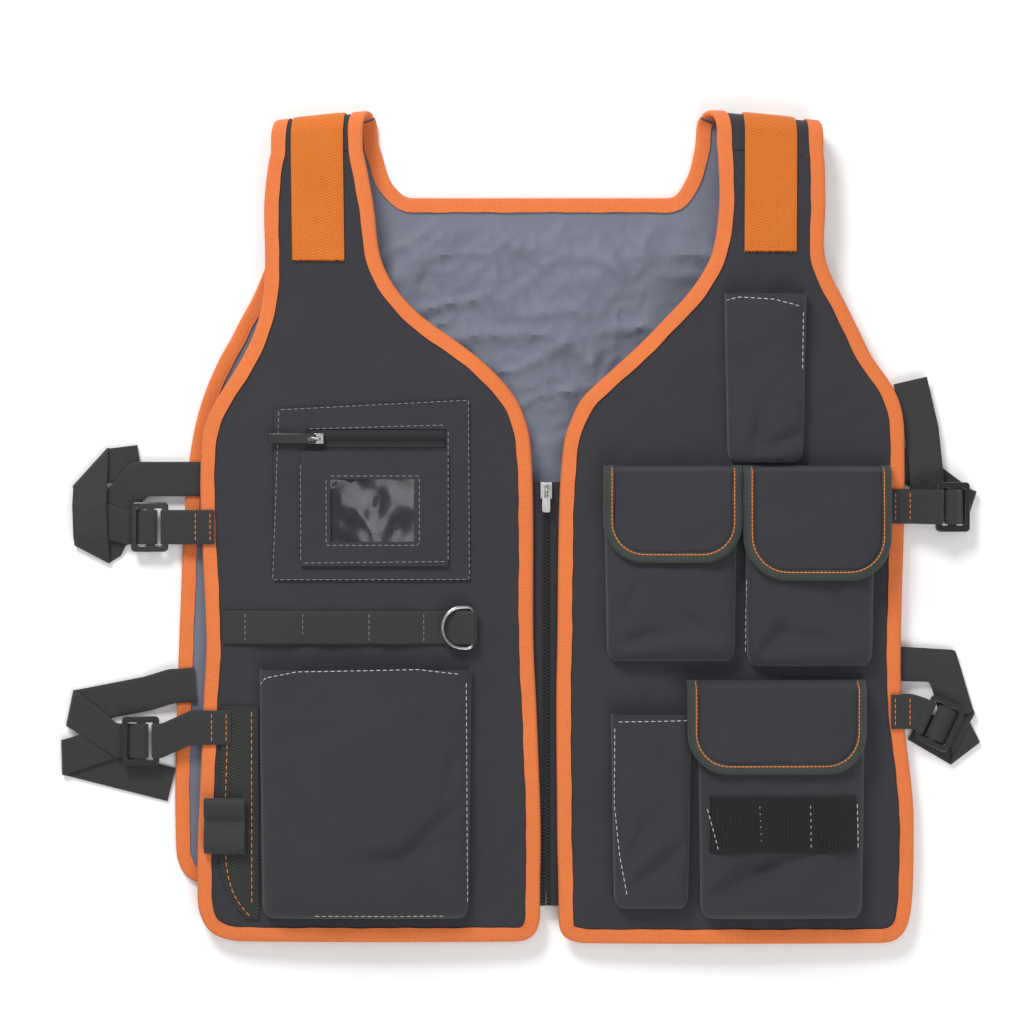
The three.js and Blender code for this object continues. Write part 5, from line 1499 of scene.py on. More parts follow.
@dataclass
class Flap(SubAssembly):
    """A flap over a pocket, edged with dark tape and a line of orange thread."""

    name: str
    over: Pouch
    x: float
    width: float
    top: float
    tip: float
    round: float

    def surface(self, x: ArrayLike, y: ArrayLike, h: ArrayLike) -> Grid:
        """A place on the flap: it follows its pocket, and falls to the front above the mouth.

        Args:
            x: Place across.
            y: Height on the drawing.
            h: Distance outward from the surface.

        Returns:
            The points.
        """
        x, y, h = np.broadcast_arrays(*(np.asarray(v, float) for v in (x, y, h)))
        u = np.clip((x - out_to_x(self.x)) / (self.width * FRONT_WIDTH / 2 * 1.06), -1, 1)
        mouth = up_to_y(self.over.mouth)
        fall = smooth(1 - (y - mouth - 1.5) / (up_to_y(self.top) - mouth - 1.5))
        depth = self.over.depth(y) * np.where(y > mouth, fall, 1.0)
        slack = 0.35 * ripple(x, y, 38.0, len(self.name) + 20) + 0.35
        return DRAWING.on_front(x, y, HALF + PATCH_GAP + depth * arch(u) + FLAP_STAND + slack + h)

    def build(self) -> None:
        """The flap's cloth and its edge tape."""
        half, rounding = self.width * FRONT_WIDTH / 2, self.round * FRONT_WIDTH
        tip, mouth, top = (y_at(v) for v in (self.tip, self.over.mouth, self.top))
        turn = np.linspace(0, math.pi / 2, 14)
        y = np.concatenate([
            tip + rounding * (1 - np.cos(turn)), np.linspace(tip + rounding, mouth + 1.5, 26)[1:],
            np.linspace(mouth + 1.5, top, 12)[1:],
        ])
        halves = np.concatenate([half - rounding * (1 - np.sin(turn)), np.full(36, half)])
        u = arch_spots(56)
        x = out_to_x(self.x) + u[None, :] * halves[:, None]
        grid = np.repeat(y[:, None], len(u), 1)
        places = np.stack([x, grid], -1)
        layer = lambda h: self.surface(x, grid, h)
        piece = make_piece(
            f"{self.name}_cloth", shell(layer(FLAP_WALL / 2), layer(-FLAP_WALL / 2), places * MM), FINISH.cloth,
            Slot.CLOTH, replaces=(self.name,),
        )
        self.keep(piece)
        path = np.concatenate([places[::-1, 0], places[0, 1:-1], places[:, -1]])
        self.path = soften(resample(path, 2.0), 2)
        tape = EdgeTape(7.5, FLAP_WALL / 2, 0.6, FLAP_GAP)
        self.add(
            f"{self.name}_edge_tape", tape.wrap(self.surface, self.path), FINISH.trim, Slot.TRIM,
            self.name.replace("flap", "flap_binding"),
        )

    def dress(self) -> None:
        """A chain of orange thread along the tape's inner side."""
        lift = FLAP_WALL / 2 + FLAP_GAP + 0.6
        kind = StitchKind(2.6, 0.3, 0.85, 0.3)
        self.add(
            f"{self.name}_chain_seam", stitches(self.surface, inset(self.path, 4.6), kind, lift),
            FINISH.orange_thread, Slot.TRIM,
        )


@dataclass(frozen=True)
class Patch:
    """A flat patch of rows and columns, with rectangular holes, at a height on a front."""

    xs: Grid
    ys: Grid
    low: float
    high: float
    holes: tuple[tuple[float, float, float, float], ...] = ()

    def places(self) -> Grid:
        """Places of its grid; xs may differ from row to row."""
        x = self.xs if self.xs.ndim == 2 else np.repeat(self.xs[None], len(self.ys), 0)
        y = self.ys if self.ys.ndim == 2 else np.repeat(self.ys[:, None], x.shape[1], 1)
        return np.stack([x, y], -1)

    def solid(self, swell: float = 0.0) -> Solid:
        """The patch's wall; cells whose middle lies in a hole are left out.

        Args:
            swell: Rise of its middle.

        Returns:
            The wall.
        """
        places = self.places()
        middle = (places[1:, 1:] + places[:-1, :-1]) / 2
        keep = np.ones(middle.shape[:2], bool)
        for x0, x1, y0, y1 in self.holes:
            inside = (
                (middle[..., 0] > x0) & (middle[..., 0] < x1) & (middle[..., 1] > y0) & (middle[..., 1] < y1)
            )
            keep &= ~inside
        x, y = places[..., 0], places[..., 1]
        bulge = swell * (0.5 + 0.5 * ripple(x, y, 30.0, 31))
        return shell(
            DRAWING.on_front(x, y, self.high + bulge), DRAWING.on_front(x, y, self.low + bulge * 0.4),
            places * MM, keep,
        )


def cut_lines(low: float, high: float, marks: Sequence[float], step: float) -> Grid:
    """Grid lines from low to high that meet every mark between them."""
    return fill(sorted({low, high, *marks}), step, 1)


@dataclass
class ToolPouchElastic(SubAssembly):
    """Ribbed elastic across the tool pocket, sewn down in columns."""

    over: Pouch
    low: float = 0.115
    high: float = 0.181
    reach: float = 0.9

    def surface(self, x: ArrayLike, y: ArrayLike, h: ArrayLike) -> Grid:
        """A place on the elastic."""
        return self.over.surface(x, y, np.asarray(h) + 0.5)

    def build(self) -> None:
        """The elastic's wall, drawn in between its seams."""
        y = np.linspace(up_to_y(self.low), up_to_y(self.high), 22)
        u = np.sin(np.linspace(-1, 1, 90) * math.pi / 2 * 0.96) * self.reach
        x = out_to_x(self.over.x) + u * self.over.half(y[:1])
        xs, ys = np.meshgrid(x, y)
        bulge = 0.6 * np.abs(np.sin((xs - x[0]) / (x[-1] - x[0]) * math.pi * 4))
        outer, inner = self.surface(xs, ys, 1.3 + bulge), self.surface(xs, ys, 0.1)
        uv = np.stack([ys, xs], -1) * MM
        self.add("tool_elastic", shell(outer, inner, uv), FINISH.elastic, Slot.WEBBING, "elastic_band")

    def dress(self) -> None:
        """Columns of pale stitches."""
        columns = (
            ((139.4, -199.3), (148.9, -234.3)), ((177.4, -196.4), (178.8, -232.9)),
            ((213.9, -196.4), (214.6, -232.9)), ((248.2, -197.1), (248.9, -232.1)),
        )
        rows = sewn(*[stitches(self.surface, column, StitchKind(), 1.5) for column in columns])
        self.add("tool_elastic_seams", rows, FINISH.pale_thread, Slot.WEBBING)


@dataclass
class ChestPatch(SubAssembly):
    """Chest pocket with a zip, a card patch on it and a clear window."""

    left: float = -0.788
    right: float = -0.223
    bottom: float = 0.437
    top_left: float = 0.641
    top_right: float = 0.651
    zip_left: float = -0.692
    zip_right: float = -0.289
    zip_low: float = 0.5939
    zip_high: float = 0.6168
    card: tuple[float, float, float, float] = (-0.709, -0.284, 0.4534, 0.5903)
    hole: tuple[float, float, float, float] = (-0.623, -0.381, 0.4828, 0.5571)
    window_lap: float = 5.0

    def build(self) -> None:
        """Patch, card patch and window."""
        x0, x1, z0, z1 = (x_at(v) for v in (self.left, self.right, self.zip_left, self.zip_right))
        y0, low, high = (y_at(v) for v in (self.bottom, self.zip_low, self.zip_high))
        xs = cut_lines(x0, x1, (z0, z1), 3.0)
        body = cut_lines(y0, y_at(self.top_left), (low, high), 3.0)
        share = (xs - x0) / (x1 - x0)
        tilt = y_at(self.top_right) - up_to_y(self.top_left)
        above = smooth((body - high) / (body[-1] - high))
        ys = body[:, None] + above[:, None] * tilt * share[None]
        patch = Patch(np.repeat(xs[None], len(body), 0), ys, CHEST_LOW, CHEST_HIGH, ((z0, z1, low, high),))
        piece = make_piece(
            "chest_pocket_cloth", patch.solid(0.25), FINISH.cloth, Slot.CLOTH, replaces=("chest_patch",)
        )
        patch.places()
        self.keep(piece)
        c0, c1 = (x_at(v) for v in self.card[:2])
        d0, d1 = (y_at(v) for v in self.card[2:])
        h0, h1 = (x_at(v) for v in self.hole[:2])
        g0, g1 = (y_at(v) for v in self.hole[2:])
        base = CHEST_HIGH + CLEAR + 0.5 + CLEAR
        card = Patch(
            cut_lines(c0, c1, (h0, h1), 2.6), cut_lines(d0, d1, (g0, g1), 2.6), base, base + PATCH_WALL,
            ((h0, h1, g0, g1),),
        )
        piece = make_piece(
            "card_pocket_cloth", card.solid(0.2), FINISH.cloth, Slot.CLOTH, replaces=("id_patch",)
        )
        card.places()
        self.keep(piece)
        lap = self.window_lap
        x, y = np.meshgrid(np.linspace(h0 - lap, h1 + lap, 60), np.linspace(g0 - lap, g1 + lap, 48))
        bow = 0.6 * ripple(x, y, 22.0, 44) * smooth((x - h0 + lap) / 6) * smooth((h1 + lap - x) / 6)
        window = shell(
            DRAWING.on_front(x, y, CHEST_HIGH + 0.65 + bow), DRAWING.on_front(x, y, CHEST_HIGH + 0.35 + bow),
            np.stack([x, y], -1) * MM,
        )
        self.add("card_window", window, FINISH.vinyl, Slot.VINYL, "id_window")

    def dress(self) -> None:
        """Dashed seams of the pocket, the zip opening, the card patch and its window."""
        outer = [(-168.3, 84.7), (-31.4, 91.6), (-30.7, -37.7), (-173.0, -38.0), (-168.3, 84.7)]
        zip_rows = [
            [(-148.2, 70.8), (-47.8, 73.7)], [(-148.2, 49.6), (-47.8, 53.3)], [(-152.6, 47.4), (-152.6, -26.3)],
            [(-46.0, 70.8), (-46.0, -25.6)], [(-152.2, -25.9), (-46.0, -24.8)],
        ]
        window = [(-134.0, 36.9), (-66.8, 36.9), (-66.8, -13.1), (-134.0, -13.1), (-134.0, 36.9)]
        on_patch = sewn(
            stitches(DRAWING.on_front, outer, StitchKind(), CHEST_HIGH + 0.3),
            *[stitches(DRAWING.on_front, row, StitchKind(), CHEST_HIGH + 0.3) for row in zip_rows[:2]],
        )
        base = CHEST_HIGH + CLEAR + 0.5 + CLEAR + PATCH_WALL + 0.15
        on_card = sewn(
            *[stitches(DRAWING.on_front, row, StitchKind(), base) for row in (*zip_rows[2:], window)]
        )
        self.add("chest_pocket_seams", on_patch.joined(on_card), FINISH.grey_thread, Slot.CLOTH)


@dataclass
class SidePatch(SubAssembly):
    """Herringbone patch beside the cargo pocket, with a loop of webbing on it."""

    rows: tuple[tuple[float, float], ...] = (
        (0.032, 0.87), (0.046, 0.9), (0.066, 0.928), (0.098, 0.945), (0.16, 0.948), (0.225, 0.944),
        (0.286, 0.94),
    )
    right: float = 0.833

    def build(self) -> None:
        """The patch and its loop."""
        table = np.array(self.rows)
        ups = fill(table[:, 0].tolist(), 3.0 / VEST_LENGTH)
        a, b = out_to_x(-read(table, 1, ups)), np.full(len(ups), x_at(-self.right))
        xs = np.linspace(a, b, 12, axis=-1)
        patch = Patch(xs, up_to_y(ups), CHEST_LOW, CHEST_HIGH)
        self.add("side_patch_webbing", patch.solid(0.2), FINISH.patch, Slot.PATCH, "side_patch")
        self.edge = np.stack([a, up_to_y(ups)], -1)
        self.add("side_webbing_loop", self.loop(), FINISH.webbing, Slot.WEBBING, "side_loop")

    def loop(self) -> Solid:
        """The loop: a closed strip sewn across its middle, so that it stands in two bulges.

        Returns:
            The loop.
        """
        x = x_at(-0.931)
        low, seam, high = (y_at(v) for v in (0.1102, 0.1475, 0.176))
        base = CHEST_HIGH + CLEAR + WEBBING / 2
        top = base + 7
        turns = np.array([
            (low + 4, base), (seam, base), (high - 4, base), (high - 0.8, base + 1.5), (high, base + 3.5),
            (high - 1.2, top - 1), (high - 5, top), (seam + 6, top - 1), (seam, top - 4.5),
            (seam - 6, top - 0.6), (low + 6, top), (low + 1.4, top - 1.2), (low, base + 3.5),
            (low + 0.8, base + 1.5),
        ])
        fine = soften(resample(np.concatenate([turns, turns[:1]]), 1.0), 3)[:-1]
        ends = [
            DRAWING.on_front(np.full(len(fine), x + side * 15.0), fine[:, 0], fine[:, 1]) for side in (1, -1)
        ]
        return strip((ends[0] + ends[1]) / 2, (ends[0] - ends[1]) / 2, WEBBING, closed=True)

    def dress(self) -> None:
        """Pale dashes along both edges, and orange stitches across the loop."""
        outer = self.edge + np.array([4.5, 0.0])
        inner = [(x_at(-self.right) - 5.0, float(y)) for y in (self.edge[3, 1], self.edge[-1, 1] - 1)]
        rows = [
            stitches(DRAWING.on_front, line, StitchKind(3.4, 1.6, 0.75), CHEST_HIGH + 0.2)
            for line in (outer, inner)
        ]
        self.add("side_patch_seams", sewn(*rows), FINISH.orange_thread, Slot.PATCH)
        seam = y_at(0.1475)
        top = CHEST_HIGH + CLEAR + WEBBING / 2 + 7 - 4.5 + WEBBING / 2
        cross = [
            stitches(
                DRAWING.on_front, [(-221.9, seam + off), (-192.0, seam + off)], StitchKind(),
                top + 0.35 * abs(off),
            ) for off in (-1.6, 1.6)
        ]
        self.add("side_loop_seams", sewn(*cross), FINISH.orange_thread, Slot.WEBBING)


def strip(middle: Grid, half: Grid, wall: float, closed: bool = False) -> Solid:
    """Flat webbing along a line.

    Formula: a flat section with rounded edges is spread by each point's half-width vector and
    by a normal square to that vector and to the line.

    Args:
        middle: Points of the strip's middle line.
        half: Half-width vector at each point.
        wall: Thickness.
        closed: Whether the line joins its start.

    Returns:
        The strip.
    """
    if closed:
        run = np.roll(middle, -1, 0) - np.roll(middle, 1, 0)
    else:
        run = np.gradient(middle, axis=0)
    run /= np.maximum(np.linalg.norm(run, axis=-1, keepdims=True), 1e-9)
    normal = np.cross(run, half)
    normal /= np.maximum(np.linalg.norm(normal, axis=-1, keepdims=True), 1e-9)
    width = float(np.median(np.linalg.norm(half, axis=-1)))
    edge = wall / 2 / width
    across = np.concatenate([np.linspace(-1 + edge, 1 - edge, 9), [1 - 0.3 * edge, 1.0, 1 - 0.3 * edge],
                             np.linspace(1 - edge, -1 + edge, 9), [-1 + 0.3 * edge, -1.0, -1 + 0.3 * edge]])
    up = np.concatenate([np.ones(9), [0.7, 0.0, -0.7], -np.ones(9), [-0.7, 0.0, 0.7]]) * wall / 2
    rings = middle[:, None] + half[:, None] * across[None, :, None] + normal[:, None] * up[None, :, None]
    way = arc_lengths(middle)
    uv = np.stack(np.broadcast_arrays(across[None] * width * MM, way[:, None] * MM), -1)
    return sweep(rings, uv, closed)


@dataclass
class LoopRow(SubAssembly):
    """Row of webbing loops above the cargo pocket, and the ring held in its end."""

    left: float = -0.938
    up: float = 0.3803
    width: float = 24.0
    rise: float = 1.6
    seams: tuple[float, ...] = (-0.872, -0.704, -0.512, -0.354)
    bar: float = -0.2135

    def build(self) -> None:
        """Webbing and ring."""
        y, low, ring = y_at(self.up), HALF + PATCH_GAP + WEBBING / 2, 1.6
        bar, turn = x_at(self.bar), ring + CLEAR + WEBBING / 2
        high = low + WEBBING / 2 + CLEAR + ring + 1.5
        spots = [(x_at(self.left), low)]
        marks = [x_at(v) for v in (self.left, *self.seams)]
        for k, (a, b) in enumerate(zip(marks[:-1], marks[1:])):
            t = np.linspace(0, 1, 13)[1:]
            rise = self.rise * (0.4 if k == 0 else 1.0)
            spots += list(zip((a + (b - a) * t).tolist(), (low + rise * np.sin(math.pi * t)).tolist()))
        spots += [(bar - 22, low + 0.6), (bar - 15, low + 1.6 + WEBBING / 2), (bar - 7, high + turn - 1.4)]
        arc = math.pi * (0.5 - np.arange(9) / 8)
        spots += list(zip((bar + turn * np.cos(arc)).tolist(), (high + turn * np.sin(arc)).tolist()))
        spots += [(bar - 4, high - turn), (bar - 12, low)]
        line = resample(np.array(spots), 1.2)
        middle = DRAWING.on_front(line[:, 0], np.full(len(line), y), line[:, 1])
        half = np.tile([0.0, self.width / 2, 0.0], (len(line), 1))
        self.add("loop_row_webbing", strip(middle, half, WEBBING), FINISH.webbing, Slot.WEBBING, "loop_webbing")
        self.keep(rounded_fitting("d_ring", "nickel_ring", FINISH.nickel, Slot.METAL, "d_ring", 0.0, 2))

    def dress(self) -> None:
        """Columns of grey stitches between the loops."""
        y = y_at(self.up)
        rows = [
            stitches(
                DRAWING.on_front,
                [(x_at(v), y - self.width / 2 + 1), (x_at(v), y + self.width / 2 - 1)],
                StitchKind(2.8, 1.4),
                HALF + PATCH_GAP + WEBBING + 0.1,
            ) for v in self.seams
        ]
        ends = stitches(
            DRAWING.on_front, [(x_at(-0.256), y - 11), (x_at(-0.256), y + 11)], StitchKind(2.8, 1.4),
            HALF + PATCH_GAP + WEBBING + 3.2,
        )
        self.add("loop_row_seams", sewn(*rows, ends), FINISH.grey_thread, Slot.WEBBING)


def tooth_row(line: Grid, ups: Grid, pitch: float, size: tuple[float, float, float], offset: float) -> Solid:
    """Teeth of a zip along a line, alternately from both sides.

    Formula: each tooth is a rounded bar across the line: three rings of eight points whose
    size follows a half ellipse, moved sideways by the offset with alternating sign.

    Args:
        line: Points of the line.
        ups: Outward direction at each point.
        pitch: Distance from tooth to tooth.
        size: Half length along, across and out.
        offset: Shift of each side from the line.

    Returns:
        The teeth.
    """
    run = arc_lengths(line)
    at = np.arange(pitch / 2, run[-1], pitch)
    spot = np.stack([np.interp(at, run, line[:, k]) for k in range(3)], -1)
    ahead = np.stack([np.interp(at + 0.2, run, line[:, k]) for k in range(3)], -1)
    along = ahead - np.stack([np.interp(at - 0.2, run, line[:, k]) for k in range(3)], -1)
    along /= np.maximum(np.linalg.norm(along, axis=-1, keepdims=True), 1e-9)
    up = np.stack([np.interp(at, run, ups[:, k]) for k in range(3)], -1)
    side = np.cross(along, up)
    side /= np.linalg.norm(side, axis=-1, keepdims=True)
    t, turn = np.linspace(-1, 1, 5), np.arange(8) * math.tau / 8
    taper = np.array([0.45, 0.9, 1.0, 0.9, 0.45])
    local = np.stack([
        np.repeat(t, 8) * size[0] / 2, np.outer(taper, np.cos(turn)).ravel() * size[1] / 2,
        np.outer(taper, np.sin(turn)).ravel() * size[2] / 2,
    ], -1)
    tube = sweep(local.reshape(5, 8, 3), np.zeros((5, 8, 2)))
    sign = np.where(np.arange(len(at)) % 2 == 0, 1.0, -1.0)[:, None]
    return stamp(local, tube.quads, tube.caps, spot + side * offset * sign, np.stack([side, along, up], 1))


TAPE_WALL = 0.8
TAPE_LEVEL = -(BIND_OUTER + 0.7 + TAPE_WALL)
CHAIN_LEVEL = TAPE_LEVEL + TAPE_WALL + CLEAR


@dataclass
class MainZip(SubAssembly):
    """The long zip under the front edges, its slider and its pull."""

    tape_width: float = 21.0
    tape_gap: float = 0.4
    seam_out: float = 7.5
    pitch: float = 1.25
    tooth: tuple[float, float, float] = (4.0, 0.95, 1.7)
    stagger: float = 0.75

    def build(self) -> None:
        """Tapes, teeth, slider and pull."""
        y = np.linspace(up_to_y(ZIP_FOOT), up_to_y(ZIP_TOP), 130)
        for side in Side:
            x = ZIP_X + side.value * np.linspace(self.tape_gap, self.tape_width, 12)
            xs, ys = np.meshgrid(x, y)
            uv = np.stack([xs, ys], -1) * MM
            level = lambda h: DRAWING.place(xs, DRAWING.front_s(ys), h)
            tape = shell(level(TAPE_LEVEL + TAPE_WALL), level(TAPE_LEVEL), uv)
            self.add(f"zip_tape_cloth_{side.word}", tape, FINISH.tape, Slot.TAPE, f"zip_tape_{side.word}")
        line = DRAWING.place(np.full_like(y, ZIP_X), DRAWING.front_s(y), CHAIN_LEVEL + 1.0)
        ups = np.tile([0.0, 0.0, 1.0], (len(y), 1))
        teeth = tooth_row(line, ups, self.pitch, self.tooth, self.stagger)
        self.add("zip_teeth_row", teeth, FINISH.teeth, Slot.TEETH, "zip_chain")
        self.keep(rounded_fitting("zip_slider", "zip_slider_metal", FINISH.nickel, Slot.METAL, "vest", 0.00025))
        self.keep(
            rounded_fitting("zip_pull", "zip_pull_metal", FINISH.nickel, Slot.METAL, "main_zip_pull", 0.0003)
        )

    def dress(self) -> None:
        """Seam of dark thread that holds each tape."""
        surface = lambda x, y, h: DRAWING.place(x, DRAWING.front_s(y), h)
        low, high = y_at(ZIP_FOOT) + 4, y_at(ZIP_TOP) - 2
        kind = StitchKind(2.6, 1.2, 0.45, 0.1)
        outs = [ZIP_X + side.value * self.seam_out for side in Side]
        rows = [stitches(surface, [(x, low), (x, high)], kind, TAPE_LEVEL + TAPE_WALL) for x in outs]
        self.add("zip_tape_seams", sewn(*rows), FINISH.tape, Slot.TAPE)


@dataclass
class ChestZip(SubAssembly):
    """The short zip of the chest pocket, with its slider and long pull."""

    left: float = -0.692
    right: float = -0.289
    low: float = 0.5939
    high: float = 0.6168
    margin: float = 0.6
    pitch: float = 1.1
    tooth: tuple[float, float, float] = (3.2, 0.85, 1.3)
    stagger: float = 0.6

    def build(self) -> None:
        """Tape, teeth, slider and pull."""
        x = np.linspace(x_at(self.left) + self.margin, x_at(self.right) - self.margin, 50)
        y = np.linspace(y_at(self.low) + self.margin, y_at(self.high) - self.margin, 10)
        xs, ys = np.meshgrid(x, y)
        level = lambda h: DRAWING.on_front(xs, ys, h)
        tape = shell(level(CHEST_LOW + TAPE_WALL), level(CHEST_LOW), np.stack([ys, xs], -1) * MM)
        self.add("chest_zip_tape_cloth", tape, FINISH.tape, Slot.TAPE, "chest_zip_tape")
        middle = float(y.mean())
        line = DRAWING.on_front(x, np.full_like(x, middle), CHEST_LOW + TAPE_WALL + CLEAR + 0.7)
        ups = np.tile([0.0, 0.0, 1.0], (len(x), 1))
        teeth = tooth_row(line, ups, self.pitch, self.tooth, self.stagger)
        self.add("chest_zip_teeth_row", teeth, FINISH.teeth, Slot.TEETH, "chest_zip_chain")
        self.keep(
            rounded_fitting(
                "chest_zip_slider", "chest_zip_slider_metal", FINISH.nickel, Slot.METAL, "vest", 0.00025
            )
        )
        self.keep(
            rounded_fitting(
                "chest_zip_pull", "chest_zip_pull_tab", FINISH.plastic, Slot.PLASTIC, "chest_zip_pull", 0.0003
            )
        )


# Side straps


@dataclass(frozen=True)
class Point:
    """A place of a strap: out and up as shares, lift in webbing walls; leave is the lift after a fold."""

    out: float
    up: float
    lift: float
    leave: float | None = None

    def at(self) -> Grid:
        """The place in millimetres."""
        return np.array([x_at(self.out), y_at(self.up), self.lift * WEBBING])


@dataclass(frozen=True)
class Spot:
    """A strap's point in millimetres, with the height it leaves a fold at, if it folds there."""

    at: Grid
    leave: float | None = None


def fold_strip(points: Sequence[Spot], side: float = 1.0) -> tuple[list[tuple[Grid, Grid]], float]:
    """Rows of a strip laid along points: small turns bend in its plane, larger ones fold it over.

    Formula: at a bend the half-width vector lies along the mean of the two left sides; at a
    fold it lies along the crease, and the strip rolls half a turn from one level to the next.

    Args:
        points: The strip's points.
        side: Which edge leads, 1 or -1.

    Returns:
        Pairs of middle and half-width vector, and the edge that leads at the end.
    """
    half = STRAP_WIDTH / 2
    rows: list[tuple[Grid, Grid]] = []

    def heading(a: Grid, b: Grid) -> Grid:
        """Level direction from one point to the next."""
        flat = np.array([b[0] - a[0], b[1] - a[1], 0.0])
        return flat / max(float(np.linalg.norm(flat)), 1e-9)

    def left(d: Grid) -> Grid:
        """Level direction to the left of another."""
        return np.array([-d[1], d[0], 0.0])

    for k, point in enumerate(points):
        into = heading(points[k - 1].at, point.at) if k else heading(point.at, points[k + 1].at)
        onward = heading(point.at, points[k + 1].at) if k < len(points) - 1 else into
        turn = math.acos(float(np.clip(into @ onward, -1, 1)))
        if point.leave is None:
            mean = left(into) + left(onward)
            mean /= max(float(np.linalg.norm(mean)), 1e-9)
            rows.append((point.at, mean * side * half / math.cos(min(turn, math.radians(66)) / 2)))
            continue
        line = into + onward
        if np.linalg.norm(line) < 0.05:
            line = left(into)
        line = line / np.linalg.norm(line)
        if line @ left(into) < 0:
            line = -line
        angle = math.acos(float(np.clip(line @ into, -1, 1)))
        across = line * side * half / math.sin(angle)
        outward = into - onward
        outward = outward / max(float(np.linalg.norm(outward)), 1e-9)
        roll = (point.leave - point.at[2]) / 2
        for a in math.pi * (np.arange(9) / 8 - 0.5):
            at = point.at + outward * abs(roll) * math.cos(a)
            at[2] = point.at[2] + roll + roll * math.sin(a)
            rows.append((at, across))
        side = -side
    return rows, side


@dataclass
class SideStrap(SubAssembly):
    """A buckle on a tab of webbing at a front edge, and the strap from the back that runs through it."""

    name: str
    place: Point
    yaw: float
    tilt: float
    tab_start: float
    tab_edge: float
    tab_up: float
    reach: float
    before: tuple[Point, ...]
    after: tuple[Point, ...]

    def axes(self) -> tuple[Grid, Grid, Grid]:
        """Directions of the buckle: away from the vest, along its bars, and out of its face.

        Returns:
            The three directions.
        """
        a, t = math.radians(self.yaw), math.radians(self.tilt)
        out = np.array([math.cos(a) * math.cos(t), math.sin(a) * math.cos(t), math.sin(t)])
        bars = np.array([-math.sin(a), math.cos(a), 0.0])
        return out, bars, np.cross(out, bars)

    def local(self, u: float, z: float) -> Grid:
        """A place by its distance out from the buckle's middle and out of its face."""
        out, _, normal = self.axes()
        return self.place.at() + out * u + normal * z

    def build(self) -> None:
        """Buckle, tab and strap."""
        self.keep(
            rounded_fitting(
                f"buckle_{self.name}", f"buckle_{self.name}_nylon", FINISH.plastic, Slot.PLASTIC, "vest", 0.0007
            )
        )
        _, bars, _ = self.axes()
        flip = math.copysign(1.0, self.tab_edge)
        tab_half, straight = bars * STRAP_WIDTH / 2, np.array([0.0, flip * STRAP_WIDTH / 2, 0.0])
        above = max(BIND_OUTER, CHEST_HIGH) + CLEAR + WEBBING / 2
        y = y_at(self.tab_up)
        on_edge = lambda out, h: DRAWING.place(x_at(out), float(DRAWING.front_s(y)), h)
        turns = [(-14.4, 2.6), (-10, 2.6), (-8.1, 2), (-7.5, 0), (-8.1, -2), (-10, -2.6), (-14.4, -2.6)]
        rows = [
            (on_edge(self.tab_start, above), straight),
            (on_edge((self.tab_start + self.tab_edge) / 2, above), straight),
            (on_edge(self.tab_edge, above), straight),
        ]
        rows += [(self.local(u, z), tab_half) for u, z in turns]
        rows += [
            (on_edge(self.tab_edge, -above - 0.4), straight),
            (on_edge(self.tab_edge - flip * 0.045, -above), straight),
        ]
        self.add(
            f"tab_{self.name}_webbing", self.ribbon(rows), FINISH.webbing, Slot.WEBBING, f"tab_{self.name}"
        )
        through = [
            (self.reach, -3.2), (11, -3.1), (7.4, -1.4), (5, 1.4), (3, 2.6), (0, 2.75), (-3, 2.4), (-4.5, 1),
            (-4.7, -1.6), (-3.4, -4.2), (-1, -5.1), (8, -5.2), (self.reach, -5.2),
        ]
        spot = lambda p: Spot(p.at(), None if p.leave is None else p.leave * WEBBING)
        first, side = fold_strip([*map(spot, self.before), Spot(self.local(self.reach, -3.2))])
        wrap = bars * -side * STRAP_WIDTH / 2
        second, _ = fold_strip([Spot(self.local(self.reach, -5.2)), *map(spot, self.after)], -side)
        rows = [*first[:-1], *[(self.local(u, z), wrap) for u, z in through], *second[1:]]
        self.add(
            f"strap_{self.name}_webbing", self.ribbon(rows), FINISH.webbing, Slot.WEBBING, f"strap_{self.name}"
        )

    @staticmethod
    def ribbon(rows: Sequence[tuple[Grid, Grid]]) -> Solid:
        """Webbing through rows, cut to short steps and softened a little at its turns.

        Args:
            rows: Middle and half width of each row.

        Returns:
            The webbing.
        """
        middle = np.array([row[0] for row in rows])
        half = np.array([row[1] for row in rows])
        run = arc_lengths(np.concatenate([middle, half * 0.35], axis=1))
        at = np.linspace(0, run[-1], max(8, int(run[-1] / 1.3)))
        fine = np.stack([np.interp(at, run, values[:, k]) for values in (middle, half) for k in range(3)], -1)
        fine = soften(fine, 3)
        return strip(fine[:, :3], fine[:, 3:], WEBBING)

    def dress(self) -> None:
        """Columns of orange stitches that hold the tab on the edge tape."""
        flip = math.copysign(1.0, self.tab_edge)
        above = max(BIND_OUTER, CHEST_HIGH) + CLEAR + WEBBING + 0.1
        y = y_at(self.tab_up)
        surface = lambda x, v, h: DRAWING.place(x, DRAWING.front_s(v), h)
        rows = [stitches(surface, [(x_at(out), y - 11), (x_at(out), y + 11)], StitchKind(2.8, 1.3, 0.75), above)
                for out in (self.tab_start + flip * 0.012, self.tab_start + flip * 0.055)]
        self.add(f"tab_{self.name}_seams", sewn(*rows), FINISH.orange_thread, Slot.WEBBING)


# Studio


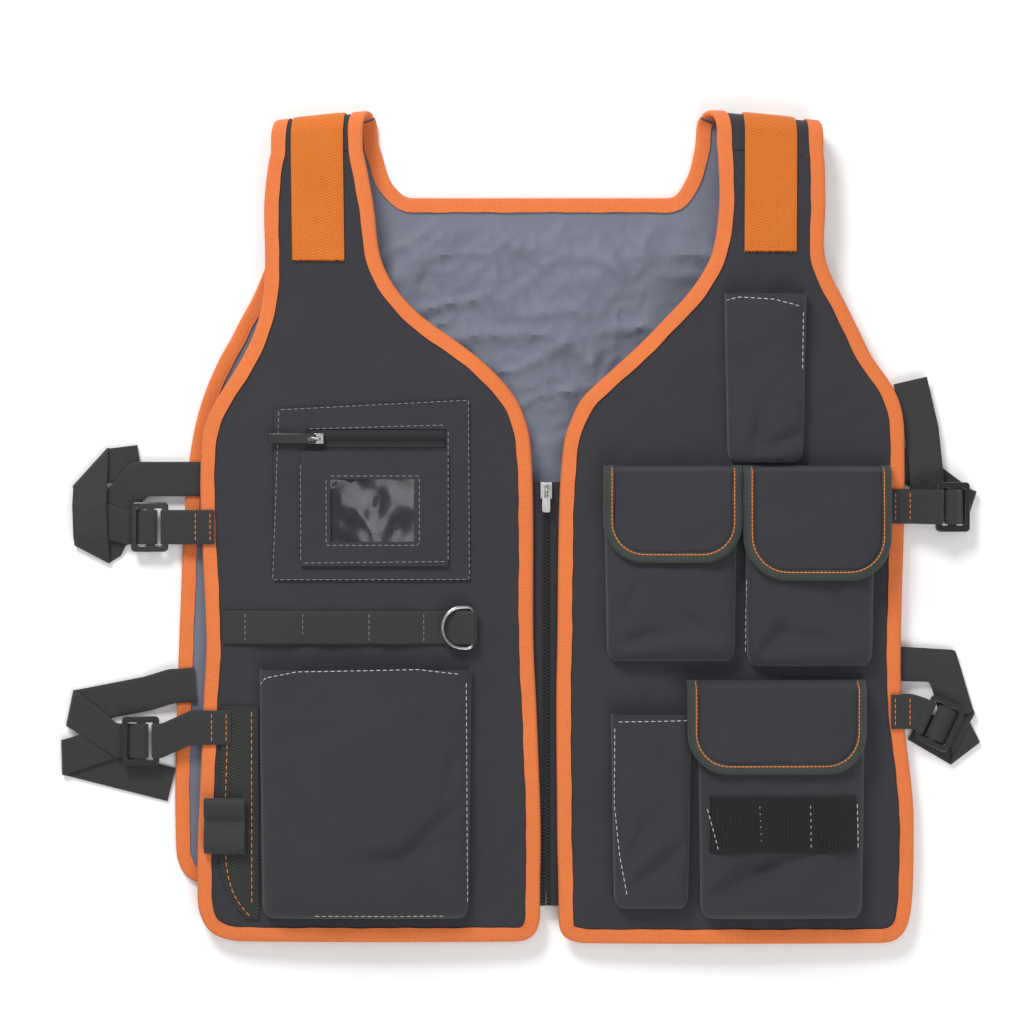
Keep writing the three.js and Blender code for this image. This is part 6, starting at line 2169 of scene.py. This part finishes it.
@dataclass(frozen=True)
class Studio:
    """Pale floor, soft light and the camera straight above."""

    height: float = 2.2
    lens: float = 106.0
    sensor: float = 36.0
    raise_y: float = 0.01095
    floor_drop: float = 0.0004
    floor_reach: float = 3.0
    floor_rows: int = 9
    world_strength: float = 0.38

    def floor(self) -> None:
        """A wide paper sheet just under the vest, as a grid that stays flat."""
        n = self.floor_rows
        steps = np.linspace(-self.floor_reach, self.floor_reach, n)
        x, y = np.meshgrid(steps, steps)
        places = np.stack([x.ravel(), y.ravel(), np.full(n * n, -self.floor_drop)], -1)
        mesh = bpy.data.meshes.new("floor")
        mesh.from_pydata(places.tolist(), [], grid_quads(n, n).tolist())
        mesh.materials.append(FINISH.paper)
        sheet = bpy.data.objects.new("floor", mesh)
        bpy.context.scene.collection.objects.link(sheet)
        sheet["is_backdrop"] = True

    def lamp(self, name: str, place: tuple[float, float, float], size: float, power: float) -> None:
        """A square soft light aimed at the middle of the vest.

        Args:
            name: Light name.
            place: Where it hangs, in metres.
            size: Length of its side.
            power: Watts.
        """
        data = bpy.data.lights.new(name, "AREA")
        data.shape, data.size, data.energy = "SQUARE", size, power
        lamp = bpy.data.objects.new(name, data)
        lamp.location = place
        lamp.rotation_euler = (Vector((0, 0, 0)) - Vector(place)).to_track_quat("-Z", "Y").to_euler()
        bpy.context.scene.collection.objects.link(lamp)

    def build(self) -> None:
        """Floor, lights, world and camera."""
        self.floor()
        self.lamp("key_light", (-0.9, 1.9, 1.6), 0.8, 52.0)
        self.lamp("fill_light", (0.9, -1.7, 1.9), 1.8, 30.0)
        self.lamp("top_light", (0.0, 0.35, 2.9), 1.0, 10.0)
        world = bpy.data.worlds.new("studio") if bpy.context.scene.world is None else bpy.context.scene.world
        world.use_nodes = True
        world.node_tree.nodes["Background"].inputs[0].default_value = (1.0, 1.0, 1.0, 1.0)
        world.node_tree.nodes["Background"].inputs[1].default_value = self.world_strength
        bpy.context.scene.world = world
        bpy.context.scene.view_settings.view_transform = "Standard"
        low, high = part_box("zip_chain")
        zip_x = (low[0] + high[0]) / 2
        data = bpy.data.cameras.new("camera")
        data.lens, data.sensor_width = self.lens, self.sensor
        camera = bpy.data.objects.new("camera", data)
        middle = low[1] - y_at(ZIP_FOOT) * MM
        camera.location = (zip_x - ZIP_X * MM, middle + self.raise_y, self.height)
        bpy.context.scene.collection.objects.link(camera)
        bpy.context.scene.camera = camera


def pouches() -> dict[str, Pouch]:
    """The six pockets with the folds of their cloth and the seams that show."""
    return {
        "cargo": Pouch(
            "cargo_pouch",
            -0.523,
            0.613,
            0.0325,
            0.33,
            0.76,
            0.56,
            0.12,
            (
                Crease(-75, -235, 18, 90, 7, -4.4), Crease(-55, -215, 40, 70, 6, -3.4),
                Crease(-150, -210, -62, 60, 6, -2.7), Crease(-45, -180, 78, 60, 5, -2.0),
                Crease(-110, -150, 25, 110, 18, 2.0),
            ),
            (
                ((-182.5, -114.6), (-178.1, -108.8), (-154.8, -104.0), (-67.2, -102.2), (-37.2, -105.8)),
                ((-32.9, -110.2), (-32.1, -272.3)),
                ((-144.5, -280.3), (-46.7, -280.3)),
            ),
        ),
        "pen": Pouch(
            "pen_pouch",
            0.632,
            0.236,
            0.5768,
            0.777,
            0.5,
            0.52,
            0.08,
            (
                Crease(180, 78, 75, 60, 5, -2.7), Crease(195, 62, 20, 50, 5, -2.4),
                Crease(168, 110, -60, 60, 6, -1.7),
            ),
            (
                ((153.3, 162.8), (162.8, 165.3), (188.3, 163.5), (208.0, 158.4)),
                ((209.5, 156.9), (209.1, 111.7)),
            ),
        ),
        "left": Pouch(
            "flap_pouch_left",
            0.359,
            0.385,
            0.34,
            0.5627,
            0.68,
            0.5,
            0.12,
            (
                Crease(95, -80, 15, 60, 6, -3.1), Crease(130, -70, -30, 50, 6, -2.4),
                Crease(85, -55, 70, 50, 5, -1.7),
            ),
        ),
        "right": Pouch(
            "flap_pouch_right",
            0.761,
            0.3825,
            0.334,
            0.5627,
            0.68,
            0.5,
            0.12,
            (
                Crease(188, -82, 50, 50, 6, -4.1), Crease(215, -80, -10, 60, 6, -2.4),
                Crease(235, -50, -65, 50, 5, -1.7),
            ),
            (((169.0, -37.2), (168.6, -91.2)),),
        ),
        "slim": Pouch(
            "slim_pouch",
            0.303,
            0.232,
            0.0446,
            0.277,
            0.56,
            0.46,
            0.1,
            (
                Crease(105, -245, 40, 60, 6, -4.4), Crease(92, -225, 65, 60, 5, -2.7),
                Crease(112, -200, -70, 60, 6, -1.7),
            ),
            (
                ((75.9, -140.2), (127.0, -139.1)),
                ((74.1, -142.3), (73.7, -199.3), (77.4, -235.8), (83.2, -267.2)),
            ),
        ),
        "tool": Pouch(
            "tool_pouch",
            0.68,
            0.485,
            0.0325,
            0.3036,
            0.8,
            0.62,
            0.12,
            (
                Crease(160, -258, 32, 80, 7, -5.4), Crease(190, -240, 12, 90, 7, -3.1),
                Crease(230, -235, -40, 60, 6, -3.1), Crease(150, -222, 60, 50, 5, -2.7),
            ),
        ),
    }


def straps() -> list[SideStrap]:
    """The four side straps as they lie in the photograph."""
    return [
        SideStrap(
            "upper_left",
            Point(-1.1505, 0.5, 5.9),
            180,
            0,
            -0.962,
            -1.03,
            0.5,
            18,
            (
                Point(-0.975, 0.5578, 3.85), Point(-1.045, 0.5578, 4), Point(-1.1855, 0.5578, 3.4),
                Point(-1.2906, 0.5084, 1.7, 3.4),
            ),
            (
                Point(-1.27, 0.482, 0.75), Point(-1.3228, 0.4686, 0.75, 2.6), Point(-1.3257, 0.49, 5.4),
                Point(-1.3286, 0.5264, 5.6), Point(-1.3257, 0.571, 3.4, 1.6), Point(-1.185, 0.5783, 1.4),
            ),
        ),
        SideStrap(
            "lower_left",
            Point(-1.1767, 0.2434, 5.9),
            180,
            0,
            -0.915,
            -1.03,
            0.2602,
            18,
            (
                Point(-1.02, 0.3106, 3.9), Point(-1.09, 0.309, 3.9), Point(-1.16, 0.3, 1.6),
                Point(-1.384, 0.2819, 0.75, 2.7),
            ),
            (Point(-1.4075, 0.2229, 2.6, 0.75), Point(-1.092, 0.19, 0.75)),
        ),
        SideStrap(
            "upper_right",
            Point(1.177, 0.524, 10),
            0,
            -20,
            1.0,
            1.06,
            0.5247,
            12,
            (
                Point(1.0, 0.5735, 3.85), Point(1.055, 0.5735, 3.85), Point(1.09, 0.566, 1.2),
                Point(1.2268, 0.524, 0.75, 4.9),
            ),
            (
                Point(1.221, 0.524, 3.6, 2.1), Point(1.115, 0.524, 2.1, 3.5), Point(1.109, 0.55, 4.1),
                Point(1.105, 0.569, 4.8), Point(1.093, 0.617, 4.2), Point(1.06, 0.676, 3.9),
            ),
        ),
        SideStrap(
            "lower_right",
            Point(1.142, 0.265, 5.9),
            -25,
            0,
            1.0,
            1.07,
            0.279,
            18,
            (
                Point(0.995, 0.3355, 3.85), Point(1.045, 0.3355, 3.4), Point(1.156, 0.333, 2.2),
                Point(1.213, 0.253, 1.7, 3.4),
            ),
            (Point(1.222, 0.228, 1.9, 0.75), Point(1.08, 0.262, 0.75)),
        ),
    ]


def main() -> None:
    """Build the studio and every sub-assembly in order, and work out the size before and after."""
    Studio().build()
    pockets = pouches()
    parts: list[SubAssembly] = [
        BackPanel(),
        FrontPanel(Side.LEFT, LEFT_EDGES),
        FrontPanel(Side.RIGHT, RIGHT_EDGES),
        ShoulderBand(Side.LEFT, 0.818, 0.658, 0.662, 0.65),
        ShoulderBand(Side.RIGHT, 0.829, 0.647, 0.648, 0.64),
        *pockets.values(),
        Flap("flap_left", pockets["left"], 0.3636, 0.388, 0.5735, 0.46, 0.11),
        Flap("flap_right", pockets["right"], 0.781, 0.42, 0.5735, 0.439, 0.12),
        Flap("flap_tool", pockets["tool"], 0.664, 0.506, 0.318, 0.2096, 0.11),
        ToolPouchElastic(pockets["tool"]),
        ChestPatch(),
        SidePatch(),
        LoopRow(),
        MainZip(),
        ChestZip(),
        *straps(),
    ]
    for part in parts:
        part.build()
        part.dress()
        log.info("%s: %d pieces", type(part).__name__, len(part.pieces))
    plain = lambda corners: [[float(v) for v in corner] for corner in corners]
    {"cad": plain(CAD_BOX), "visual": plain(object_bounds())}


if __name__ == "__main__":
    logging.basicConfig(level=logging.INFO)
    main()
